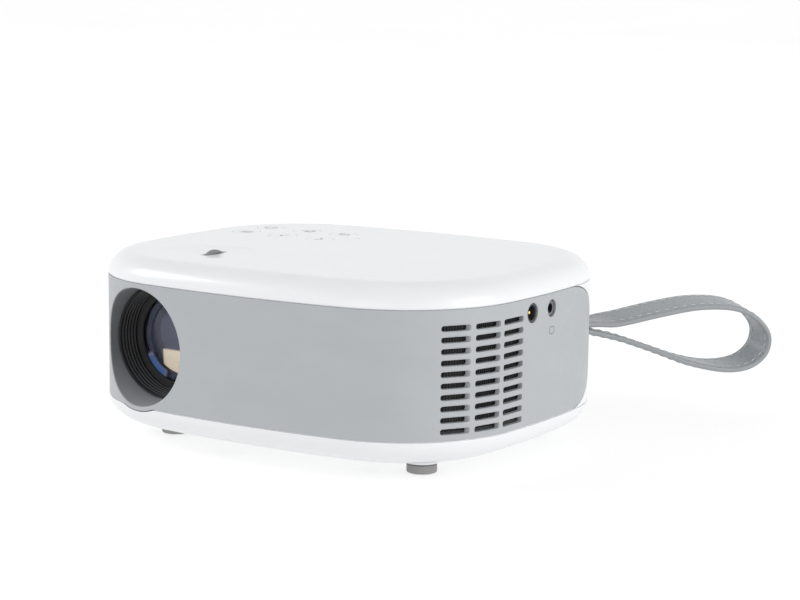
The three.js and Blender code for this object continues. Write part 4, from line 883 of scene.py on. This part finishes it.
for node in FOOT_NODES:
    x, y, _ = centre(node)
    profile = [(0, 0.25), (FOOT_R - 2.2, 0.25), (FOOT_R - 1.9, 0.0), (FOOT_R - 0.7, 0.0), (FOOT_R - 0.2, 0.2)]
    profile += [(FOOT_R, 0.7), (FOOT_R, 3.2), (FOOT_R - 0.15, 3.55), (FOOT_R - 0.5, 3.7), (2.5, 3.7)]
    profile += [(2.5, 7), (0, 7)]
    piece(f"{node}_pad", turned(profile, "z", (x, y), 56), "foot_rubber", stands_for=(node,))

for node in SCREW_NODES:
    x, y, _ = centre(node)
    low = span(node)[0].z
    head = turned(
        [(0, low), (1.6, low), (2.4, low + 0.25), (2.85, low + 0.8), (3.0, low + 1.5), (3.0, low + 2.3)]
        + [(1.45, low + 2.3), (1.45, low + 17), (0, low + 17.6)],
        "z", (x, y), 40,
    )
    long, short = CROSS_HALF_L, CROSS_HALF_W
    arm = [(short, -long), (short, -short), (long, -short)]
    turns = ((1, 0), (0, 1), (-1, 0), (0, -1))
    cross = [(x + u * c - v * k, y + u * k + v * c) for c, k in turns for u, v in arm]
    recess = prism(cross, "z", low - 1, low + CROSS_DEPTH)
    piece(f"{node}_head", combined(head, recess, "DIFFERENCE"), "steel", stands_for=(node,))

# ------------------------------------------------------------------------ lens


def hood_profile():
    """Barrel section: outside, front edge, fine ribs down the hood, glass seat, step to the stop, bore."""
    ribs = 6
    front = HOOD_FRONT_Y
    depth = (HOOD_BACK_Y + 0.9 - front - 0.7) / ribs
    drop = (HOOD_R - 0.75 - HOOD_THROAT_R) / ribs
    profile = [(HOOD_R, HOOD_BACK_Y), (HOOD_R, front + 0.3), (HOOD_R - 0.1, front + 0.08)]
    profile += [(HOOD_R - 0.3, front), (HOOD_R - 0.55, front), (HOOD_R - 0.7, front + 0.15)]
    for i in range(ribs):
        r = HOOD_R - 0.8 - i * drop
        y = front + 0.45 + i * depth
        profile += [(r, y), (r, y + 0.35 * depth), (r + 0.28, y + 0.55 * depth), (r + 0.28, y + 0.9 * depth)]
    seat_r = GLASS_R + GAP
    profile += [(HOOD_THROAT_R, HOOD_BACK_Y + 0.6), (HOOD_THROAT_R, GLASS_Y - 0.4), (seat_r, GLASS_Y - 0.4)]
    profile += [(seat_r, SEAT_Y), (STOP_R + 0.25, SEAT_Y), (STOP_R, SEAT_Y + 0.25), (STOP_R, STOP_BACK_Y)]
    rings = 8
    pitch = 2.6
    for i in range(rings):
        y = STOP_BACK_Y + i * pitch
        profile += [(BORE_R, y), (BORE_R, y + 0.45 * pitch)]
        profile += [(BORE_R + 0.5, y + 0.6 * pitch), (BORE_R + 0.5, y + 0.9 * pitch)]
    profile += [(BORE_R, BARREL_BACK_Y - 1), (BORE_R, BARREL_BACK_Y), (BARREL_R, BARREL_BACK_Y)]
    profile += [(BARREL_R, SHOULDER_Y), (SHOULDER_R, SHOULDER_Y), (SHOULDER_R, SEAT_Y + 1.6)]
    profile += [(GLASS_R + 2, SEAT_Y + 0.6), (GLASS_R + 2.5, SEAT_Y - 2), (HOOD_R, HOOD_BACK_Y)]
    return profile


def lens_element(radius, y, edge, front, back, steps=14):
    """Glass disc of parabolic faces that rise by front and back."""
    face = [radius * i / steps for i in range(steps + 1)]
    profile = [(r, y - front * (1 - (r / radius) ** 2)) for r in face]
    profile += [(r, y + edge + back * (1 - (r / radius) ** 2)) for r in face[::-1]]
    return turned(profile, "y", (LENS_X, LENS_Z), 96)


piece("lens_hood", turned(hood_profile(), "y", (LENS_X, LENS_Z), 112), "black_plastic", "lens",
      ("lens_barrel",), angle=30)
piece("front_element", lens_element(GLASS_R, GLASS_Y, 2.2, 2.6, 0.2), "lens_glass", "lens",
      ("lens_front_glass",))
piece("middle_element", lens_element(STOP_R - GAP, MIDDLE_GLASS_Y, 1.4, 0.4, 0.02), "lens_glass", "lens",
      ("lens_middle_glass",), middle_glass())
piece("rear_element", lens_element(12.6, -20, 2, 1.5, 1.5), "lens_glass", "lens", ("lens_rear_glass",))
retainer = [(GLASS_R - 1.1, -50.3), (GLASS_R - 0.9, -50.75), (GLASS_R + 1.7, -50.8), (GLASS_R + 1.9, -50.6)]
retainer += [(GLASS_R + 1.9, -50.1), (GLASS_R - 1.1, -50.1), retainer[0]]
piece("glass_retainer", turned(retainer, "y", (LENS_X, LENS_Z), 96), "black_plastic", "lens",
      ("lens_retainer",))

# ---------------------------------------------------------- focus wheel, keys


def focus_wheel():
    """Thumb wheel with rounded knurls and dished faces, bored for its axle."""
    knurls = 36
    per = 6
    count = knurls * per
    half = WHEEL_T / 2
    sections = [(-0.7, 1.65, 0), (-0.7, RIM_R - 2.2, 0), (-1.0, RIM_R - 1.5, 0), (-1.0, RIM_R - 0.5, 0.6)]
    sections += [(-0.8, RIM_R - 0.12, 1), (-0.5, RIM_R, 1)]
    sections += [(-x, cut, flute) for x, cut, flute in sections[::-1]]
    rings = []
    for x, cut, flute in sections:
        ring = []
        for i in range(count):
            t = 2 * math.pi * i / count
            r = cut - flute * 0.22 * (1 - math.cos(knurls * t))
            ring.append((WHEEL.x + x * half, WHEEL.y + r * math.cos(t), WHEEL.z + r * math.sin(t)))
        rings.append(ring)
    return skin(rings, wrap=True)


# The focus wheel is drawn in the dark grey of the printed symbols.
piece("thumb_wheel", focus_wheel(), "white_shell", "focus", ("focus_wheel",), DARK_GREY)


def strokes(lines, width, low, high):
    """Thin raised bars along polylines, for the key symbols. Each line is a list of (x, y)."""
    made = []
    for line in lines:
        left, right = [], []
        for i, p in enumerate(line):
            before = Vector(line[max(0, i - 1)])
            after = Vector(line[min(len(line) - 1, i + 1)])
            along = (after - before).normalized()
            side = Vector((-along.y, along.x)) * width / 2
            if 0 < i < len(line) - 1:
                turn = (Vector(p) - before).normalized().dot(along)
                side = side / max(0.5, turn)
            left.append(tuple(Vector(p) + side))
            right.append(tuple(Vector(p) - side))
        made.append(prism(left + right[::-1], "z", low, high))
    return together(made)


def icon_lines(node):
    """Generic symbols, drawn within about 2 mm of the key's middle."""
    ring = arc(0, 0, 1.75, math.radians(125), math.radians(415), 20)
    hook = arc(0.8, -0.1, 1.0, math.pi / 2, -math.pi / 2, 8)[1:]
    return {
        "key_menu": [[(-1.7, y), (1.7, y)] for y in (-1.2, 0.0, 1.2)],
        "key_left": [[(0.9, 1.6), (-0.9, 0.0), (0.9, -1.6)]],
        "key_right": [[(-0.9, 1.6), (0.9, 0.0), (-0.9, -1.6)]],
        "key_power": [ring, [(0.0, 0.3), (0.0, 2.1)]],
        "key_source": [[(0.2, 1.5), (1.9, 1.5), (1.9, -1.5), (0.2, -1.5)], [(-2.0, 0.0), (0.6, 0.0)],
                       [(-0.2, 0.8), (0.7, 0.0), (-0.2, -0.8)]],
        "key_back": [[(-1.6, 0.9), (0.8, 0.9)] + hook + [(-1.0, -1.1)],
                     [(-0.8, 1.8), (-1.8, 0.9), (-0.8, 0.0)]],
    }[node]


BODY_OF = {node: name for name, nodes in frame["record"]["behaviour"]["bodies"].items() for node in nodes}

for node in KEY_NODES:
    x, y, _ = centre(node)
    cap = [(0, TOP_Z), (KEY_R - 0.6, TOP_Z), (KEY_R - 0.25, TOP_Z - 0.03), (KEY_R - 0.06, TOP_Z - 0.12)]
    cap += [(KEY_R, TOP_Z - 0.3), (KEY_R, TOP_Z - 2.6), (1.6, TOP_Z - 2.6), (1.6, TOP_Z - 4.2)]
    cap += [(0, TOP_Z - 4.2)]
    piece(f"{node}_cap", turned(cap, "z", (x, y), 64), "white_shell", BODY_OF[node], (node,))
    icon = strokes(icon_lines(node), 0.38, -0.1, 0.03)
    icon = icon.mapped(lambda u, v, w: (x + u * SYMBOL_SCALE, y + v * SYMBOL_SCALE, TOP_Z + w))
    piece(f"{node}_symbol", icon, "grey_band", BODY_OF[node], look=DARK_GREY)

light = centre("status_light_pipe")
pipe = [(0, TOP_Z), (0.7, TOP_Z - 0.03), (1.0, TOP_Z - 0.16), (1.1, TOP_Z - 0.4), (1.1, 72.6), (0, 72.6)]
piece("light_pipe", turned(pipe, "z", (light.x, light.y), 32), "silicone", stands_for=("status_light_pipe",))

# ------------------------------------------------------------- side furniture


def inner_strip(side, low, high, z0, z1, near, far):
    """Strip that follows the inside of the side wall, from near to far behind it."""
    rings = []
    steps = 24
    for i in range(steps + 1):
        y = low.y + (high.y - low.y) * i / steps
        outer, inner = side * (skin_x(y) - WALL - near), side * (skin_x(y) - WALL - far)
        rings.append([(outer, y, z0), (outer, y, z1), (inner, y, z1), (inner, y, z0)])
    return skin(rings)


def filter_mesh(side, node):
    """Fine upright wires between two rails, in front of a backing sheet, behind the slots."""
    low, high = span(node)
    pitch = 1.05
    wires = []
    count = int((high.y - low.y) / pitch)
    deep, thick = WALL + 0.85, 0.22
    for i in range(count + 1):
        y = low.y + 0.25 + i * (high.y - low.y - 0.5) / count
        x = side * (skin_x(y) - deep)
        wires.append(box(x - thick, x + thick, y - thick, y + thick, low.z + 0.4, high.z - 0.4))
    ends = ((low.z, low.z + 1.0), (high.z - 1.0, high.z))
    rails = [inner_strip(side, low, high, z0, z1, 0.5, 1.2) for z0, z1 in ends]
    return together(wires + rails + [inner_strip(side, low, high, low.z, high.z, 1.15, 1.35)])


piece("screen_right", filter_mesh(1, "vent_filter_right"), "filter_mesh", stands_for=("vent_filter_right",))
piece("screen_left", filter_mesh(-1, "vent_filter_left"), "filter_mesh", stands_for=("vent_filter_left",))

FACE = SOCKET_FACE_X


def dc_socket():
    """Square moulded body with a round, chamfered mouth."""
    back = FACE - 13.4
    ring = turned(
        [(2.95, FACE - 3.5), (2.95, FACE - 0.5), (3.1, FACE - 0.15), (3.4, FACE), (3.85, FACE - 0.05)]
        + [(3.98, FACE - 0.3), (3.98, FACE - 3.5), (2.95, FACE - 3.5)],
        "x", (DC_Y, SOCKET_Z), 48,
    )
    square = rounded(DC_Y - 4.7, DC_Y + 4.7, SOCKET_Z - 5, SOCKET_Z + 3.6, 0.5)
    block = prism(square, "x", back, FACE - 3.4)
    at = (DC_Y, SOCKET_Z)
    well = turned([(0, back + 3), (2.95, back + 3), (2.95, FACE + 2), (0, FACE + 2)], "x", at, 48)
    pin = turned([(0, back - 1), (1.3, back - 1), (1.3, back + 3.2), (0, back + 3.2)], "x", at, 24)
    solid = combined(block, ring, "UNION")
    return combined(combined(solid, well, "DIFFERENCE"), pin, "DIFFERENCE")


piece("power_socket", dc_socket(), "black_plastic", stands_for=("dc_jack",))
pin_x0, pin_x1 = span("dc_jack_pin")[0].x, FACE - 1.0
pin = [(0, pin_x1), (0.35, pin_x1 - 0.02), (0.7, pin_x1 - 0.2), (0.92, pin_x1 - 0.6), (0.95, pin_x1 - 1)]
pin += [(0.95, pin_x0), (0, pin_x0)]
piece("power_pin", turned(pin, "x", (DC_Y, SOCKET_Z), 32), "gold_contact", stands_for=("dc_jack_pin",))

collar_x = span("audio_jack_collar")
a0, a1 = collar_x[0].x, collar_x[1].x
collar = [(1.8, a0), (1.8, a1 - 0.35), (2.0, a1 - 0.08), (2.3, a1), (3.2, a1), (3.45, a1 - 0.1)]
collar += [(3.52, a1 - 0.35), (3.52, a1 - 1.8), (2.4, a1 - 1.8), (2.4, a0), collar[0]]
SLEEVE = metal("dark_nickel", (0.2, 0.195, 0.215), 0.3, 0.45)
piece("audio_sleeve", turned(collar, "x", (AUDIO_Y, SOCKET_Z), 56), "steel",
      stands_for=("audio_jack_collar",), look=SLEEVE)

# Outline symbol under the audio socket, lying on the band.
ICON_Y, ICON_Z = AUDIO_Y + 0.1, 55.4


def side_symbol():
    rings = []
    for growth, depth in ((0.0, 0.06), (0.0, -0.03), (-0.42, -0.03), (-0.42, 0.06)):
        half_w, half_h = 2.1 + growth, 1.7 + growth
        loop = rounded(ICON_Y - half_w, ICON_Y + half_w, ICON_Z - half_h, ICON_Z + half_h, 1.3 + growth, 6)
        rings.append([(skin_x(y) - depth, y, z) for y, z in loop])
    return skin(rings, wrap=True)


piece("headset_symbol", side_symbol(), "grey_band", look=DARK_GREY)

ir = span("ir_window")
ir_x, ir_y0, ir_y1 = centre("ir_window").x, ir[0].y, ir[1].y
window = [(0, ir_y1), (1.6, ir_y1 - 0.06), (2.4, ir_y1 - 0.2), (2.75, ir_y1 - 0.5), (2.8, ir_y1 - 1)]
window += [(2.8, ir_y0 + 1.4), (4, ir_y0 + 1.4), (4, ir_y0), (0, ir_y0)]
piece("receiver_window", turned(window, "y", (ir_x, PORT_Z), 48), "black_plastic", stands_for=("ir_window",),
      look=LOOKS["lcd_glass"])


def port(node, half_w, half_h, tongue_h):
    """Folded metal port with a plastic tongue carrying gold contacts."""
    x = centre(node).x
    y0, y1 = span(node)[0].y, span(node)[1].y
    outer = rounded(x - half_w, x + half_w, PORT_Z - half_h, PORT_Z + half_h, 0.9, 5)
    inner = rounded(x - half_w + 0.5, x + half_w - 0.5, PORT_Z - half_h + 0.5, PORT_Z + half_h - 0.5, 0.5, 5)
    sections = ((outer, y0), (outer, y1 - 0.2), (outer, y1), (inner, y1), (inner, y0 + 2))
    shell = skin([[(u, y, w) for u, w in loop] for loop, y in sections])
    piece(f"{node}_shell", shell, "steel", stands_for=(node,))
    tongue = rounded(x - half_w + 2, x + half_w - 2, PORT_Z - tongue_h / 2, PORT_Z + tongue_h / 2, 0.3, 3)
    piece(f"{node}_tongue", prism(tongue, "y", y0 + 2.2, y1 - 1.5), "black_plastic")
    contacts = []
    count = 6
    for i in range(count):
        cx = x + (i - (count - 1) / 2) * (2 * half_w - 5.5) / count
        z = PORT_Z - tongue_h / 2
        contacts.append(box(cx - 0.4, cx + 0.4, y0 + 2.4, y1 - 1.9, z - 0.12, z + 0.1))
    piece(f"{node}_contacts", together(contacts), "gold_contact")


port("hdmi_port", 7.6, 2.9, 1.2)
port("usb_port", 6.8, 3.1, 2.0)

# ------------------------------------------------------------------ hand strap

# Middle line of the loop, as (out, up) from the hinge: an eye round the pin, then the loop.
EYE_R = STRAP_T / 2 + 0.15
LOOP = [
    (18, 1.9), (40, 4.8), (60, 6.6), (78, 5.3), (90, 0.9), (97.5, -5.8), (99.5, -12),
    (96.6, -18.6), (88, -23.2), (74, -23.6), (56, -19.6), (38, -13), (20, -6.6),
]
# Twist about the middle line, in degrees, at shares of the way round.
ROLLS = (
    (0.0, 0), (0.015, 0), (0.075, 9), (0.2, 10), (0.45, 11),
    (0.56, 9), (0.7, 5), (0.84, 2), (0.95, 0), (1.0, 0),
)


def loop_points(spacing=1.2):
    """Evenly spaced points of the closed middle line, as (out, up, distance from the start)."""
    knots = [(0.0, EYE_R)] + LOOP + [(0.0, -EYE_R)]
    knots = [Vector(k) for k in knots]
    before = [knots[0] * 2 - knots[1]] + knots[:-1]
    dense = []
    for i in range(len(knots) - 1):
        p0, p1, p2 = before[i], knots[i], knots[i + 1]
        p3 = knots[i + 2] if i + 2 < len(knots) else p2 * 2 - p1
        for k in range(24):
            t = k / 24
            dense.append(
                0.5 * (2 * p1 + (p2 - p0) * t + (2 * p0 - 5 * p1 + 4 * p2 - p3) * t * t
                       + (3 * p1 - p0 - 3 * p2 + p3) * t**3)
            )
    dense += [Vector(p) for p in arc(0, 0, EYE_R, -math.pi / 2, -3 * math.pi / 2, 12)[:-1]]
    lengths = [0.0]
    closed = dense + [dense[0]]
    for a, b in zip(closed, closed[1:]):
        lengths.append(lengths[-1] + (b - a).length)
    total = lengths[-1]
    count = round(total / spacing)
    points, k = [], 0
    for i in range(count):
        s = total * i / count
        while lengths[k + 1] < s:
            k += 1
        f = (s - lengths[k]) / (lengths[k + 1] - lengths[k])
        points.append((closed[k].lerp(closed[k + 1], f), s))
    return points, total


LINE, LINE_LENGTH = loop_points()


def line_at(s):
    """Place, tangent and normal of the middle line at distance s."""
    n = len(LINE)
    f = (s % LINE_LENGTH) / LINE_LENGTH * n
    i = int(f) % n
    p = LINE[i][0].lerp(LINE[(i + 1) % n][0], f - int(f))
    tangent = (LINE[(i + 2) % n][0] - LINE[(i - 1) % n][0]).normalized()
    return p, tangent, Vector((-tangent.y, tangent.x))


def roll_at(share):
    for (start, low), (end, high) in zip(ROLLS, ROLLS[1:]):
        if share <= end:
            t = (share - start) / (end - start)
            return math.radians(low + (high - low) * t * t * (3 - 2 * t))
    return 0.0


def on_strap(s, v, h):
    """A point of the strap: distance s along it, v across it, and h out from its middle surface."""
    p, _, normal = line_at(s)
    q = p + normal * h
    roll = roll_at((s % LINE_LENGTH) / LINE_LENGTH)
    return at_strap(q.x, v * math.cos(roll), q.y - v * math.sin(roll))


def strap_section():
    """(across, out, edge) points round the band: plump in the middle and pinched at the stitch lines."""
    half, t = STRAP_W / 2, STRAP_T / 2
    seam = half - STITCH_IN
    upper = []
    for v in (-seam + 1.0, -seam * 0.5, 0, seam * 0.5, seam - 1.0):
        upper.append((v, t * (0.96 + 0.04 * math.cos(v / seam * math.pi / 2)), 0.0))
    right = [(seam, t * 0.88, 0.0), (seam + 0.9, t * 0.95, 0.0), (half - 0.65, t * 0.92, 0.2)]
    right += [(half - 0.3, t * 0.75, 1.0), (half - 0.05, t * 0.35, 1.0)]
    right += [(v, -h, e) for v, h, e in right[::-1]]
    lower = [(v, -h, e) for v, h, e in upper[::-1]]
    left = [(-v, h, e) for v, h, e in right][::-1]
    return upper + right + lower + left


def strap_band():
    section = strap_section()
    rings = [[on_strap(s, v, h) for v, h, _ in section] for _, s in LINE]
    return skin(rings, wrap=True), [e for _ in LINE for _, _, e in section]


def stitch(s, v, side):
    """One thread stitch, domed and sunk a little at its ends."""
    surface = side * STRAP_T / 2 * 0.9
    rings = []
    for f, swell in ((-0.5, 0.35), (-0.36, 0.8), (-0.15, 1.0), (0.15, 1.0), (0.36, 0.8), (0.5, 0.35)):
        rise = side * (0.02 + 0.14 * swell)
        ring = []
        for k in range(6):
            t = 2 * math.pi * k / 6
            across, out = STITCH_HALF_W * swell * math.cos(t), 0.2 * swell * math.sin(t)
            ring.append(on_strap(s + f * STITCH_L, v + across, surface + rise + out))
        rings.append(ring)
    return skin(rings)


def stitches():
    made = []
    first, last = 5.0, LINE_LENGTH - 2 * math.pi * EYE_R / 2 - 5.0
    count = int((last - first) / STITCH_PITCH)
    for i in range(count + 1):
        s = first + (last - first) * i / count
        for v in (-1, 1):
            for side in (-1, 1):
                made.append(stitch(s, v * (STRAP_W / 2 - STITCH_IN), side))
    return together(made)


band, edges = strap_band()
strap = piece("strap_loop", band, "strap_leather", "strap", ("hand_strap",), angle=60)
mask = strap.data.attributes.new("edge", "FLOAT", "POINT")
mask.data.foreach_set("value", edges)
piece("strap_stitches", stitches(), "strap_leather", "strap", look=THREAD, angle=70)

# --------------------------------------------------- CAD nodes that are kept

SLOT_OF = {part["node"]: part["material_slot"] for part in frame["record"]["subparts"]}

for node, o in frame["nodes"].items():
    if o.hide_render:
        continue
    o.data.materials.clear()
    o.data.materials.append(LOOKS[SLOT_OF[node]].material)

# --------------------------------------------------- floor, light and camera


def area_light(name, place, aim, size, power):
    data = bpy.data.lights.new(name, "AREA")
    data.shape = "RECTANGLE"
    data.size, data.size_y = size
    data.energy = power
    o = bpy.data.objects.new(name, data)
    o.location = place
    o.rotation_euler = (Vector(aim) - Vector(place)).to_track_quat("-Z", "Y").to_euler()
    bpy.context.scene.collection.objects.link(o)


def floor():
    look = Look("studio_floor", specular_ior_level=0.1)
    look.colour(look.blend(look.noise(400), (0.29, 0.29, 0.29), (0.31, 0.31, 0.31)))
    look.shader.inputs["Emission Color"].default_value = (1, 1, 1, 1)
    look.shader.inputs["Emission Strength"].default_value = 0.72
    look.rough(look.noise(50), 0.8, 0.95)
    work = bmesh.new()
    bmesh.ops.create_grid(work, x_segments=8, y_segments=8, size=30)
    mesh = bpy.data.meshes.new("floor")
    work.to_mesh(mesh)
    work.free()
    mesh.materials.append(look.material)
    o = bpy.data.objects.new("floor", mesh)
    o.location.z = -0.0002
    bpy.context.scene.collection.objects.link(o)


# Name, place and size in metres, power in watts.
LIGHTS = (
    ("key", (-2.3, -1.1, 1.6), 0.9, 20),
    ("fill", (0.1, -3.0, 0.8), 2.2, 12),
    ("side", (2.2, 0.3, 0.7), 1.4, 20),
)
AZIMUTH, ELEVATION, CAMERA_ROLL = math.radians(34.22), math.radians(10.01), math.radians(0.4)
DISTANCE = 0.9886
FOCAL_MM, SHIFT_X, SHIFT_Y = 101.6, 0.0649, 0.0409


def camera():
    target = MIDDLE + Vector((0, 0, MID_Z * MM))
    back = Vector((
        math.sin(AZIMUTH) * math.cos(ELEVATION), -math.cos(AZIMUTH) * math.cos(ELEVATION), math.sin(ELEVATION)
    ))
    right = Vector((math.cos(AZIMUTH), math.sin(AZIMUTH), 0))
    up = back.cross(right)
    rolled = right * math.cos(CAMERA_ROLL) + up * math.sin(CAMERA_ROLL)
    upright = up * math.cos(CAMERA_ROLL) - right * math.sin(CAMERA_ROLL)
    data = bpy.data.cameras.new("camera")
    data.sensor_width = 36
    data.lens = FOCAL_MM
    data.shift_x, data.shift_y = SHIFT_X, SHIFT_Y
    data.clip_end = 100
    o = bpy.data.objects.new("camera", data)
    turn = Matrix((rolled, upright, back)).transposed().to_4x4()
    o.matrix_world = Matrix.Translation(target + back * DISTANCE) @ turn
    bpy.context.scene.collection.objects.link(o)
    bpy.context.scene.camera = o


def shade_by_height(tree):
    """White near the horizon, darker overhead."""
    direction = tree.nodes.new("ShaderNodeTexCoord")
    parts = tree.nodes.new("ShaderNodeSeparateXYZ")
    remap = tree.nodes.new("ShaderNodeMapRange")
    for key, number in (("From Min", 0.3), ("From Max", 0.95), ("To Min", 1.05), ("To Max", 0.6)):
        remap.inputs[key].default_value = number
    tree.links.new(direction.outputs["Generated"], parts.inputs["Vector"])
    tree.links.new(parts.outputs["Z"], remap.inputs["Value"])
    tree.links.new(remap.outputs["Result"], tree.nodes["Background"].inputs["Strength"])


camera()
floor()
world = bpy.data.worlds.new("studio")
world.use_nodes = True
world.node_tree.nodes["Background"].inputs["Color"].default_value = (1, 1, 1, 1)
shade_by_height(world.node_tree)
bpy.context.scene.world = world
bpy.context.scene.view_settings.view_transform = "Standard"
for name, place, size, power in LIGHTS:
    area_light(name, place, (0, 0, 0.04), (size, size), power)
